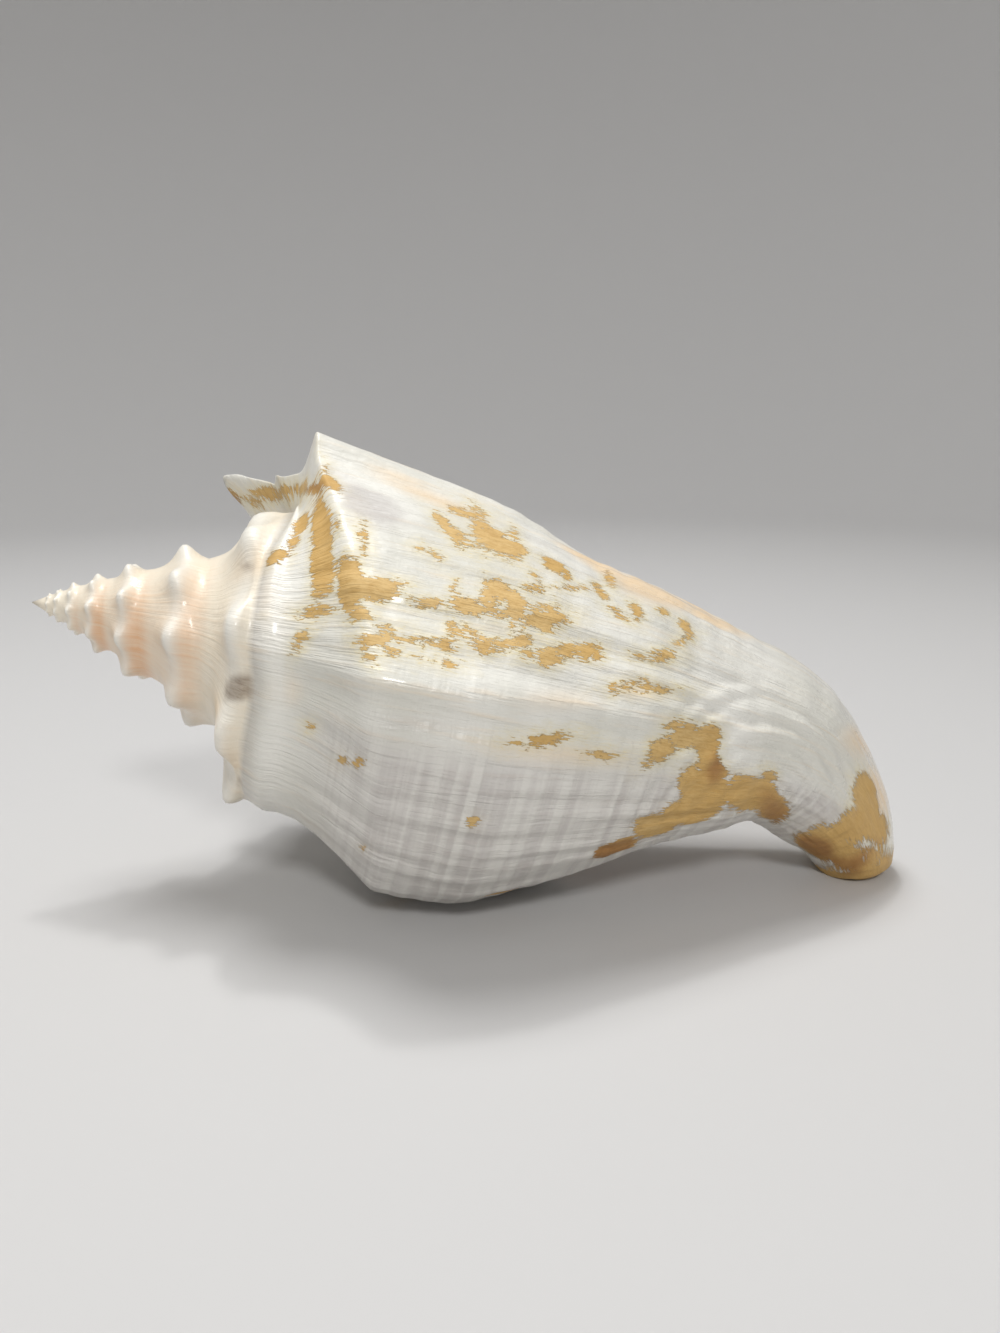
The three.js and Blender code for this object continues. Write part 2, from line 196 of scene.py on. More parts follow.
@dataclass(frozen=True)
class Growth:
    """How the whorls grow: shoulder line, seam line, flank of the last whorl, and knobs."""

    lip: float = 198.0
    spire_end: float = -561.0
    spire_reach: float = 38.3
    spire_radius: float = 19.4
    reach_per_turn: float = 1.54
    radius_per_turn: float = 1.5
    shoulder_angle: tuple[float, ...] = (
        -561, -371, -291, -205, -162, -124, -87, -50, -25, -14, -4, 25, 50, 83, 120, 155, 198,
    )
    shoulder_reach: tuple[float, ...] = (
        38.3, 45.2, 49, 51.2, 51, 50.5, 49, 47, 47.5, 51.5, 53.6, 62, 70, 80, 84, 86, 87,
    )
    shoulder_radius: tuple[float, ...] = (
        19.4, 26, 29.5, 32, 33.2, 34.5, 36, 37, 37, 37.6, 41.5, 41.5, 42.5, 44, 44, 46, 49,
    )
    seam_angle: tuple[float, ...] = (-162, -90, -5, 15, 42, 74, 91, 120, 155, 198)
    seam_reach: tuple[float, ...] = (42.6, 46.5, 52, 52.4, 51, 52.3, 54.2, 53.8, 54.2, 54.8)
    seam_radius: tuple[float, ...] = (24, 27, 30.5, 30.6, 30.2, 31.6, 31, 32.8, 33.5, 33.7)
    seam_below: float = 1.13
    seam_inside: float = 0.97
    stations: tuple[float, ...] = (0, 0.22, 0.46, 0.7, 1, 1.25, 1.5, 1.75, 2, 2.3, 2.6, 2.85, 2.95, 3)
    flank_reach: tuple[float, ...] = (100, 116, 130, 143, 156, 170, 186, 200.5, 207.5, 210.5)
    flank_angle: tuple[float, ...] = (-162, -90, -5, 83, 155, 198)
    flank_radius: tuple[tuple[float, ...], ...] = (
        (21, 28.5, 36.7, 43, 46.3, 49.6),
        (16.5, 25, 33.5, 39, 41.3, 44),
        (13.5, 22, 31.2, 35.5, 34.8, 35.5),
        (11.5, 20, 28, 31, 27.8, 28),
        (10.5, 18, 24.6, 26.5, 22.4, 22),
        (9.5, 16, 20.2, 21.5, 17.4, 17),
        (9, 12, 13.2, 15.5, 15.8, 15.5),
        (11, 10.5, 10, 11, 11, 11),
        (9, 8.5, 8, 9, 9, 9),
        (0, 0, 0, 0, 0, 0),
    )
    knob_step: float = 43.0
    last_spire_knob: float = -205.0
    spire_knob_out: float = 0.13
    spire_knob_back: float = 0.035
    knob_station: float = 0.66
    knobs: tuple[Knob, ...] = (
        Knob(-163, 3, 1, 12, 0.3),
        Knob(-124, 4.5, 2.5, 13, 0.35),
        Knob(-87, 6, 5, 13, 0.4),
        Knob(-50, 8.6, 17.6, 13, 0.45),
        Knob(-23, 1.5, 2.5, 8, 0.3),
        Knob(-4, 6.7, 0, 8, 0.4),
        Knob(83, 5, 1, 19, 0.9),
        Knob(156, 2, 0, 22, 0.6),
    )

    @property
    def start(self) -> float:
        """Growth angle where the last whorl starts."""
        return self.lip - 360.0

    def shoulder(self, angle: np.ndarray) -> tuple[np.ndarray, np.ndarray]:
        """Reach and radius of the shoulder: even growth in the spire, a smooth curve after it."""
        turns = (angle - self.spire_end) / 360.0
        early = angle < self.spire_end
        reach = curve(angle, self.shoulder_angle, self.shoulder_reach)
        radius = curve(angle, self.shoulder_angle, self.shoulder_radius)
        return (
            np.where(early, self.spire_reach * self.reach_per_turn**turns, reach),
            np.where(early, self.spire_radius * self.radius_per_turn**turns, radius),
        )

    def seam(self, angle: np.ndarray) -> tuple[np.ndarray, np.ndarray]:
        """Reach and radius of the seam where a whorl starts, just below the shoulder a turn earlier."""
        reach, radius = self.shoulder(angle - 360.0)
        late = smooth((angle + 202.0) / 60.0)
        return (
            mix(self.seam_below * reach, curve(angle, self.seam_angle, self.seam_reach), late),
            mix(self.seam_inside * radius, curve(angle, self.seam_angle, self.seam_radius), late),
        )

    def spire_knob(self, angle: np.ndarray) -> np.ndarray:
        """Height of the spire's even knobs, 0 to 1: a cosine wave drawn to points."""
        turn = (angle - self.last_spire_knob) / self.knob_step * 2.0 * np.pi
        return (0.5 + 0.5 * np.cos(turn)) ** 1.4

    def profile(self, angle: np.ndarray, station: np.ndarray) -> tuple[np.ndarray, np.ndarray]:
        """Reach and radius at growth angles and stations.

        A smooth curve over the stations joins the seam, the shoulder, the next seam and the flank, and
        each knob adds a bump that falls off round the whorl and down it.

        Args:
            angle: growth angle, degrees.
            station: station, 0 to 3.

        Returns:
            Distance along the axis and radius, mm.
        """
        seam_reach, seam_radius = self.seam(angle)
        top_reach, top_radius = self.shoulder(angle)
        next_reach, next_radius = self.seam(angle + 360.0)
        last = angle >= self.start - 1e-6
        opened = np.where(last, smooth((angle - self.start) / 50.0), 0.0)
        flank = [curve(angle, self.flank_angle, radii) for radii in self.flank_radius]
        reaches = [
            seam_reach,
            mix(seam_reach, top_reach, 0.32),
            mix(seam_reach, top_reach, 0.68),
            top_reach,
            mix(next_reach, self.flank_reach[0], opened),
            *self.flank_reach[1:],
        ]
        radii = [
            seam_radius,
            mix(seam_radius, top_radius, 0.18),
            mix(seam_radius, top_radius, 0.62),
            top_radius,
            mix(next_radius, flank[0], opened),
            *flank[1:],
        ]
        reach = curve(station, self.stations, reaches)
        radius = curve(station, self.stations, radii)
        spire = angle < self.last_spire_knob + self.knob_step / 2.0
        knob = self.spire_knob(angle)
        weight = bell(station, self.knob_station, 0.22)
        out = self.spire_knob_out * top_radius * (knob - 0.25) * weight
        back = self.spire_knob_back * top_reach * knob * weight
        body_out = np.zeros_like(radius)
        body_back = np.zeros_like(radius)
        above = bell(station, self.knob_station, 0.24)
        for one in self.knobs:
            across = bell(angle, one.at, one.width, 1.8)
            below = station >= self.knob_station
            fade = np.where(below, bell(station, self.knob_station, one.reach), above)
            body_out += one.out * across * fade
            body_back += one.back * across * np.where(below, bell(station, self.knob_station, 0.3), above)
        radius = radius + np.where(spire, out, body_out)
        reach = reach - np.where(spire, back, body_back)
        return reach, np.maximum(radius, 0.0)


@dataclass(frozen=True)
class Relief:
    """Low relief of the outer surface, radially, in mm: ripples, cords, folds, crease, ledge and seam.

    A wave is its height, its turns for each turn of growth, its lean along the reach, and its start.
    """

    ripple: float = 0.22
    waves: tuple[tuple[float, float, float, float], ...] = (
        (1.0, 31.0, 0.05, 0.0), (0.7, 47.0, -0.09, 1.3), (0.6, 19.0, 0.03, 0.4),
    )
    ripple_rest: float = 0.25
    cord: float = 0.12
    cord_step: float = 6.3
    cord_fade: float = 9.0
    fold: float = 0.42
    fold_step: float = 4.8
    crease: float = 1.1
    crease_angle: float = 106.0
    notch_reach: float = 160.0
    notch_angle: float = 118.0
    notch_scale: float = 0.5
    notch_stretch: float = 1.15
    ledge: float = 1.5
    ledge_angle: float = 80.0
    ledge_reach: float = 92.0
    ledge_width: float = 4.2
    ledge_lean: float = 0.05
    seam_lip: float = 0.9
    seam_dip: float = 0.63

    def ripples(self, angle: np.ndarray, station: np.ndarray, reach: np.ndarray) -> np.ndarray:
        """Slow waves across the growth angle, faint near the beak, and waves across the reach.

        Args:
            angle: growth angle, degrees.
            station: station, 0 to 3.
            reach: distance along the axis, mm.

        Returns:
            Their height, mm.
        """
        waves = sum(high * np.sin(np.radians(angle * turns) + lean * reach + start)
                    for high, turns, lean, start in self.waves)
        body = smooth((station - 0.15) / 0.3) * smooth((3.0 - station) / 0.4)
        rest = mix(1.0, self.ripple_rest, smooth((station - 1.7) / 0.5))
        cords = np.sin(2.0 * np.pi * reach / self.cord_step + 0.02 * angle)
        cords = cords * np.sin(reach / self.cord_fade + 0.05 * angle)
        cords = cords * smooth((station - 0.1) / 0.1) * smooth((2.9 - station) / 0.4)
        return self.ripple * waves * body * rest * smooth((angle + 240.0) / 60.0) + self.cord * cords

    def folds(self, angle: np.ndarray, reach: np.ndarray) -> np.ndarray:
        """Rings round the notch before the beak, with a crease through them.

        Args:
            angle: growth angle, degrees.
            reach: distance along the axis, mm.

        Returns:
            Their height, mm.
        """
        beside = (reach - self.notch_reach) * self.notch_stretch
        ring = np.hypot(beside, (angle - self.notch_angle) * self.notch_scale)
        near = smooth((ring - 8.0) / 8.0) * smooth((42.0 - ring) / 12.0)
        near = near * smooth((self.notch_angle - angle) / 20.0)
        uneven = 0.7 + 0.3 * np.sin(0.23 * angle + 0.31 * reach)
        rings = self.fold * uneven * np.sin(2.0 * np.pi * ring / self.fold_step + 0.9 * uneven) * near
        return rings - self.crease * bell(reach, self.notch_reach, 2.4) * bell(angle, self.crease_angle, 20.0)

    def height(self, angle: np.ndarray, station: np.ndarray, reach: np.ndarray) -> np.ndarray:
        """Height of the relief, mm.

        Args:
            angle: growth angle, degrees.
            station: station, 0 to 3.
            reach: distance along the axis, mm.

        Returns:
            Sum of the ripples and the folds, less a ledge along the lower facet's top, with a thin
            raised line along the last whorl's seam and a shallow dip along the spire's.
        """
        below = angle - self.ledge_angle - self.ledge_lean * (reach - 90.0)
        below = below / self.ledge_width
        ledge = self.ledge * below * np.exp(0.5 - 0.5 * below * below) * bell(reach, self.ledge_reach, 22.0)
        late = smooth((angle + 140.0) / 30.0)
        thread = self.seam_lip * bell(station, 0.071, 0.05) * late
        dip = self.seam_dip * bell(station, 0.95, 0.06) * smooth((angle + 522.0) / 40.0) * (1.0 - late)
        return self.ripples(angle, station, reach) + self.folds(angle, reach) - ledge + thread - dip


@dataclass(frozen=True)
class Patch:
    """An oval on the surface: growth angle, length down from the seam, half sizes in mm, and slant.

    The slant turns the long side from the way down the whorl toward the lip.
    """

    angle: float
    down: float
    long: float
    wide: float
    slant: float = 0.0
    strength: float = 1.0

    def inside(self, angle: np.ndarray, down: np.ndarray, radius: np.ndarray) -> np.ndarray:
        """Distance in from the oval's edge, about, in mm: negative outside.

        Args:
            angle: growth angle, degrees.
            down: length down from the seam, mm.
            radius: distance from the axis, mm.

        Returns:
            The distance at each point.
        """
        across = np.radians(angle - self.angle) * np.maximum(radius, 1.0)
        along = down - self.down
        c, s = math.cos(math.radians(self.slant)), math.sin(math.radians(self.slant))
        u = (along * c + across * s) / self.long
        v = (across * c - along * s) / self.wide
        return self.wide * (self.strength - np.sqrt(u * u + v * v))


@dataclass(frozen=True)
class Mark:
    """An oval on the photo, in its pixels: middle, half sizes, and slant down to the right."""

    x: float
    y: float
    long: float
    wide: float
    slant: float = 0.0
    strength: float = 1.0


@dataclass(frozen=True)
class View:
    """The camera at the photo's viewing angle: its place in metres, its turn in degrees, and its lens."""

    at: tuple[float, float, float] = (-0.00778, -0.21404, 0.110)
    pitch: float = 75.0
    yaw: float = -3.0
    lens: float = 27.0
    sensor: float = 36.0
    wide: float = 1000.0
    high: float = 1333.0

    @property
    def turn(self) -> Euler:
        """The camera's turn."""
        return Euler((math.radians(self.pitch), 0.0, math.radians(self.yaw)))

    def pixels(self, points: np.ndarray) -> tuple[np.ndarray, np.ndarray, np.ndarray]:
        """Where points appear in the photo.

        Args:
            points: points, mm.

        Returns:
            Pixels from the left, pixels from the top, and distance ahead of the camera in mm.
        """
        right, up, back = ((points - np.asarray(self.at) / MM) @ np.asarray(self.turn.to_matrix())).T
        focal = self.lens / self.sensor * self.high
        return self.wide / 2.0 - focal * right / back, self.high / 2.0 + focal * up / back, -back


@dataclass
class Sight:
    """The side of the shell that the camera sees, which tells what place lies under a pixel.

    A point is seen where it faces the camera and no point in its own cell of pixels is nearer by more
    than the veil, mm. Under a pixel, the count of nearest points is taken, and of these the fitted ones
    on the same side, degrees. A point farther away than far, pixels, is taken as it is. The weights
    of the fit fall off over the spread, square pixels, down to the least weight. A half axis longer
    than the leap, mm, has left its whorl.
    """

    view: View
    points: np.ndarray
    normals: np.ndarray
    places: np.ndarray
    cell: float = 9.0
    veil: float = 5.0
    count: int = 16
    fitted: int = 10
    same_side: float = 15.0
    far: float = 6.0
    spread: float = 60.0
    least_weight: float = 0.001
    leap: float = 40.0

    def __post_init__(self) -> None:
        """Keeps the points that are seen."""
        u, v, ahead = self.view.pixels(self.points)
        across = int(self.view.wide // self.cell) + 1
        cells = (v // self.cell).astype(int) * across + (u // self.cell).astype(int)
        front = np.full(cells.max() + 1, np.inf)
        np.minimum.at(front, cells, ahead)
        facing = np.sum(self.normals * (np.asarray(self.view.at) / MM - self.points), axis=1) > 0.0
        seen = facing & (ahead < front[cells] + self.veil)
        self.u, self.v, self.places = u[seen], v[seen], self.places[seen]

    def under(self, x: float, y: float) -> np.ndarray:
        """The place under a pixel: the height there of planes laid through the nearest seen points.

        Args:
            x: pixels from the left.
            y: pixels from the top.

        Returns:
            Growth angle, length down from the seam and radius.
        """
        away = (self.u - x) ** 2 + (self.v - y) ** 2
        near = np.argpartition(away, self.count)[: self.count]
        near = near[np.argsort(away[near])]
        near = near[np.abs(self.places[near, 0] - self.places[near[0], 0]) < self.same_side][: self.fitted]
        if away[near[0]] > self.far**2:
            return self.places[near[0]]
        weight = np.exp(-away[near] / self.spread)[:, None] + self.least_weight
        plane = np.column_stack([self.u[near] - x, self.v[near] - y, np.ones(near.size)])
        return np.linalg.lstsq(plane * weight, self.places[near] * weight, rcond=None)[0][2]

    def half(self, mark: Mark, middle: np.ndarray, x: float, y: float) -> np.ndarray:
        """A half axis of a mark, carried to the surface.

        It is the mean of both ways from the middle, or the short way where the other leaves the whorl.

        Args:
            mark: the mark.
            middle: growth angle, length down and radius in the mark's middle.
            x: the half axis, pixels to the right.
            y: the half axis, pixels down.

        Returns:
            Length down the whorl and round it, mm.
        """
        ahead = self.under(mark.x + x, mark.y + y) - middle
        behind = middle - self.under(mark.x - x, mark.y - y)
        ways = np.array([(step[1], math.radians(step[0]) * middle[2]) for step in (ahead, behind)])
        sizes = np.linalg.norm(ways, axis=1)
        return ways[sizes.argmin()] if sizes.max() > self.leap else ways.mean(axis=0)

    def patch(self, mark: Mark) -> Patch:
        """The oval on the surface that looks like a mark from the camera.

        The mark's two half axes are carried to the surface, and the oval's own axes follow from them.

        Args:
            mark: the mark.

        Returns:
            The oval.
        """
        middle = self.under(mark.x, mark.y)
        c, s = math.cos(math.radians(mark.slant)), math.sin(math.radians(mark.slant))
        halves = [self.half(mark, middle, mark.long * c, mark.long * s),
                  self.half(mark, middle, -mark.wide * s, mark.wide * c)]
        axes, sizes, _ = np.linalg.svd(np.array(halves).T)
        slant = math.degrees(math.atan2(axes[1, 0], axes[0, 0]))
        return Patch(middle[0], middle[1], sizes[0], sizes[1], slant, mark.strength)


@dataclass(frozen=True)
class Layer:
    """Ovals of one kind: marks read off the photo, and patches laid straight on the surface."""

    marks: tuple[Mark, ...]
    patches: tuple[Patch, ...] = ()

    def found(self, sight: Sight) -> tuple[Patch, ...]:
        """All of the layer's ovals, on the surface."""
        return tuple(sight.patch(one) for one in self.marks) + self.patches


SKIN_MARKS = (
    # Edge of the turned knob at the top left.
    Mark(232, 494, 8, 4, 50), Mark(252, 497, 15, 5), Mark(285, 491, 18, 5, -15), Mark(303, 488, 10, 5),
    # Star behind the knob, and the streak down from it.
    Mark(314, 489, 10, 6, -20), Mark(326, 475, 3, 7, 10), Mark(320, 520, 8, 26),
    Mark(323, 570, 11, 24, 0, 1.05),
    # Branch to the left of the streak.
    Mark(302, 523, 12, 6, -60), Mark(294, 541, 10, 4, -65), Mark(276, 556, 14, 5, -15),
    # Block to its right, and the flakes below it.
    Mark(349, 582, 12, 28, 0, 1.05), Mark(378, 588, 20, 12, 0, 0.95), Mark(398, 584, 10, 4, 10),
    Mark(318, 612, 16, 5, -8), Mark(300, 641, 12, 4.5, -52), Mark(357, 614, 13, 9, 0, 0.75),
    Mark(368, 641, 14, 7), Mark(381, 640, 10, 5, 0, 0.9), Mark(383, 629, 10, 3, 0, 0.9),
    Mark(393, 651, 9, 4, 5, 0.85), Mark(404, 641, 10, 3, 0, 0.85), Mark(425, 640, 15, 3.5, 5, 0.9),
    Mark(446, 644, 11, 5, 0, 0.95), Mark(454, 630, 7, 11, 0, 0.95), Mark(371, 659, 7, 5, 30, 0.85),
    Mark(363, 536, 4, 13, -5, 0.95), Mark(336, 524, 3.5, 7, 0, 0.8), Mark(424, 549, 9, 4, 10, 0.9),
    Mark(438, 557, 7, 5, 30, 0.8), Mark(421, 658, 5, 3, 20, 0.9), Mark(450, 663, 8, 3.5, 5),
    # Pair high on the upper side.
    Mark(447, 526, 17, 6, 45), Mark(461, 539, 9, 6, 30), Mark(459, 512, 12, 4, 20),
    Mark(483, 531, 18, 9, 62, 1.05), Mark(500, 543, 21, 9, 30, 1.05), Mark(515, 549, 11, 9, 20, 1.05),
    Mark(479, 514, 7, 6), Mark(512, 532, 7, 8, 0, 0.75),
    # Flakes to the right of the pair.
    Mark(553, 563, 13, 5, 35), Mark(565, 574, 7, 4, 60), Mark(577, 588, 13, 2, 5, 0.9),
    Mark(602, 594, 9, 3.5, 45), Mark(535, 576, 9, 2, 45, 0.9), Mark(535, 589, 11, 4, 10, 0.9),
    # Large patch in the middle.
    Mark(430, 603, 14, 4.5, 5), Mark(468, 606, 19, 8, 10), Mark(500, 599, 17, 16, 0, 1.05),
    Mark(491, 585, 8, 8), Mark(516, 605, 11, 13, 0, 1.05), Mark(546, 618, 23, 8, 0, 1.05),
    Mark(546, 607, 14, 3, 5, 0.85), Mark(456, 590, 5, 9, 0, 0.75),
    # Chain of flakes below the large patch.
    Mark(473, 634, 9, 4, 25), Mark(486, 647, 13, 7), Mark(505, 645, 21, 5.5), Mark(523, 640, 8, 7),
    Mark(530, 654, 9, 5), Mark(549, 658, 12, 9), Mark(566, 650, 17, 7), Mark(588, 651, 13, 8),
    Mark(597, 655, 7, 6), Mark(513, 628, 4, 5, 0, 0.9), Mark(547, 629, 7, 4, 0, 0.9),
    # Flakes on the way to the beak.
    Mark(636, 610, 9, 5, 50), Mark(618, 613, 10, 3, 35, 0.9), Mark(663, 612, 5, 3, 20, 0.9),
    Mark(686, 628, 10, 4.5, 50), Mark(680, 643, 9, 3.5, -30, 0.8), Mark(664, 655, 13, 5.5, -5),
    Mark(638, 656, 7, 4, 0, 0.85), Mark(613, 689, 5, 4, 0, 0.9), Mark(630, 684, 11, 3.5, -5),
    Mark(647, 687, 6, 6, 0, 0.95),
    # Hooked patch before the beak.
    Mark(676, 727, 12, 9, 0, 0.8), Mark(667, 747, 10, 9), Mark(651, 760, 9, 3.5, -45),
    Mark(706, 741, 14, 16, 0, 1.05), Mark(709, 765, 10, 15, 0, 1.05), Mark(716, 773, 11, 13, 0, 1.05),
    Mark(706, 793, 25, 21, 0, 1.05), Mark(690, 812, 31, 12, -10, 1.05), Mark(657, 826, 23, 10, -15, 1.05),
    Mark(615, 849, 24, 6, -22), Mark(752, 795, 26, 16, -8, 1.05), Mark(769, 777, 7, 7),
    Mark(774, 808, 14, 19, -35, 1.05),
    # End of the beak.
    Mark(868, 800, 11, 30, -8), Mark(860, 832, 28, 24, 0, 1.1), Mark(838, 847, 24, 18, 0, 1.1),
    Mark(823, 838, 14, 11, 30), Mark(850, 863, 28, 12, 0, 1.1), Mark(815, 847, 22, 9, 25),
    # Specks on the lower side.
    Mark(543, 740, 23, 6.5, -5), Mark(602, 755, 11, 4, 5), Mark(473, 821, 6, 5),
    Mark(311, 727, 4, 4, 0, 0.9), Mark(343, 760, 5, 5, 0, 0.95), Mark(358, 762, 5, 5, 0, 0.95),
    Mark(362, 848, 4, 4, 0, 0.7),
    # Strokes that tie the flakes together.
    Mark(262, 494, 23, 6, -4, 1.1), Mark(322, 548, 10, 46, 4), Mark(872, 866, 18, 10, -10, 1.1),
    Mark(684, 735, 16, 12, -20), Mark(660, 752, 10, 12, 30), Mark(330, 482, 14, 5.7, 10),
    Mark(610, 580, 5, 10, -30, 0.8), Mark(656, 690, 14, 3, 0, 0.9),
)
HIDDEN_SKIN = (
    Patch(-35, 40.0, 8.0, 2.0, 8), Patch(-58, 55.0, 11.0, 2.6, -6, 1.1), Patch(-50, 63.0, 6.0, 2.0, 12),
    Patch(-80, 78.0, 10.0, 3.0, 5, 1.1), Patch(-96, 60.0, 5.0, 1.6, -20), Patch(-110, 90.0, 9.0, 3.2, -10),
    Patch(-70, 110.0, 8.0, 2.4, 10), Patch(-122, 45.0, 6.0, 2.2, 15), Patch(-90, 132.0, 8.0, 4.0, 0, 1.1),
    Patch(-40, 92.0, 6.0, 1.6, -8), Patch(-75, 42.0, 4.0, 1.4, 30, 0.9), Patch(-66, 88.0, 4.0, 1.4, 70, 0.9),
    Patch(-130, 75.0, 6.0, 2.0, 0), Patch(-100, 112.0, 5.0, 1.6, 20), Patch(150, 62.0, 5.0, 1.6, 0, 0.9),
    Patch(-120, 145.0, 9.0, 5.0, 0), Patch(-60, 148.0, 7.0, 2.5, -10), Patch(165, 38.0, 4.0, 1.5, 30, 0.9),
)
BARE_MARKS = (
    Mark(501, 605, 6, 6), Mark(729, 815, 8, 7), Mark(865, 844, 8, 4), Mark(463, 517, 4, 3),
)
# Peach and cream: the bands along the upper side, the beak and the soft fields of the lower side.
CREAM_MARKS = (
    Mark(600, 566, 40, 7, 27), Mark(655, 590, 42, 12, 27), Mark(712, 617, 36, 13, 27),
    Mark(430, 497, 50, 6, 22, 0.8), Mark(395, 480, 30, 8, 20, 0.6), Mark(862, 742, 7, 16, -70),
    Mark(640, 690, 20, 8, 0, 0.6), Mark(560, 755, 60, 10, 5, 0.6), Mark(272, 600, 16, 50, 0, 0.5),
    Mark(285, 690, 26, 26, 0, 0.5), Mark(700, 606, 36, 8, 27), Mark(640, 577, 36, 7, 27),
    Mark(880, 790, 6, 24, -15), Mark(560, 700, 40, 12, 0, 0.5),
)
SPIRE_CREAM = (Patch(-320, 15.0, 9.0, 6.0, 0, 0.6), Patch(-244, 14.0, 9.0, 8.0, 0, 0.8))
# Darker skin: the beak, the hooked patch and the knob at the top left; along the bottom edge and at the notch
# the darker brown is painted shade.
BROWN_SKIN_AND_SHADE_MARKS = (
    Mark(774, 812, 12, 15, -35), Mark(850, 866, 26, 9), Mark(612, 852, 26, 6, -22),
    Mark(815, 848, 20, 8, 25), Mark(716, 768, 8, 14, 10), Mark(236, 500, 10, 10, 45),
    Mark(315, 487, 9, 5, -20),
)
# Painted shade in grey: on the upper side, behind the streak, and a painted shadow under the corner.
PAINTED_SHADE_MARKS = (
    Mark(370, 503, 38, 16, 24, 0.9), Mark(330, 470, 10, 26, 70, 0.5), Mark(409, 724, 48, 9, 5, 0.6),
)
# Painted shade in the hollows between the knobs at the seams of the spire.
SEAM_SHADE_MARKS = (
    Mark(239, 688, 14.5, 12.5, -10), Mark(251, 681, 12, 6, 80, 0.7), Mark(247, 567, 10, 9, -15, 0.55),
    Mark(241, 780, 3.5, 4.5, 0, 0.8), Mark(262, 701, 4, 18, -10, 0.35),
)


@dataclass(frozen=True)
class Markings:
    """Where the shell keeps its skin, its peach tint and its bleached white, and where shade is painted: in
    its seams, on its shaded faces and along its bottom edge.
    """

    tan: Layer = Layer(SKIN_MARKS, HIDDEN_SKIN)
    bare: Layer = Layer(BARE_MARKS)
    cream: Layer = Layer(CREAM_MARKS, SPIRE_CREAM)
    # Darker skin, partly painted shade.
    brown_skin_and_shade: Layer = Layer(BROWN_SKIN_AND_SHADE_MARKS)
    # Ovals of painted grey shade.
    painted_shade: Layer = Layer(PAINTED_SHADE_MARKS)
    # Ovals of painted shade in the seams.
    seam_shade: Layer = Layer(SEAM_SHADE_MARKS)
    tip_skin: float = 204.0
    least: float = -4.0
    most: float = 3.0

    def near(self, layer: Layer, sight: Sight, places: np.ndarray, soft: float) -> np.ndarray:
        """Share from 0 to 1 that rises toward the middle of any oval of a layer.

        Args:
            layer: the ovals.
            sight: the shell as the camera sees it.
            places: growth angle, length down from the seam and radius of each point.
            soft: width of the soft edge, mm.

        Returns:
            The share at each point.
        """
        best = np.zeros(len(places))
        for one in layer.found(sight):
            best = np.maximum(best, one.strength * smooth(one.inside(*places.T) / soft + 0.5))
        return best

    def skin(self, sight: Sight, places: np.ndarray, reach: np.ndarray) -> np.ndarray:
        """Distance in from the edge of the skin that is left, mm: the deepest oval, less the bare ones.

        Args:
            sight: the shell as the camera sees it.
            places: growth angle, length down from the seam and radius of each point.
            reach: distance along the axis, mm.

        Returns:
            The distance at each point, kept between the least and the most.
        """
        best = np.maximum(reach - self.tip_skin, self.least)
        for one in self.tan.found(sight):
            best = np.maximum(best, one.inside(*places.T))
        for one in self.bare.found(sight):
            best = np.minimum(best, -one.inside(*places.T))
        return np.clip(best, self.least, self.most)


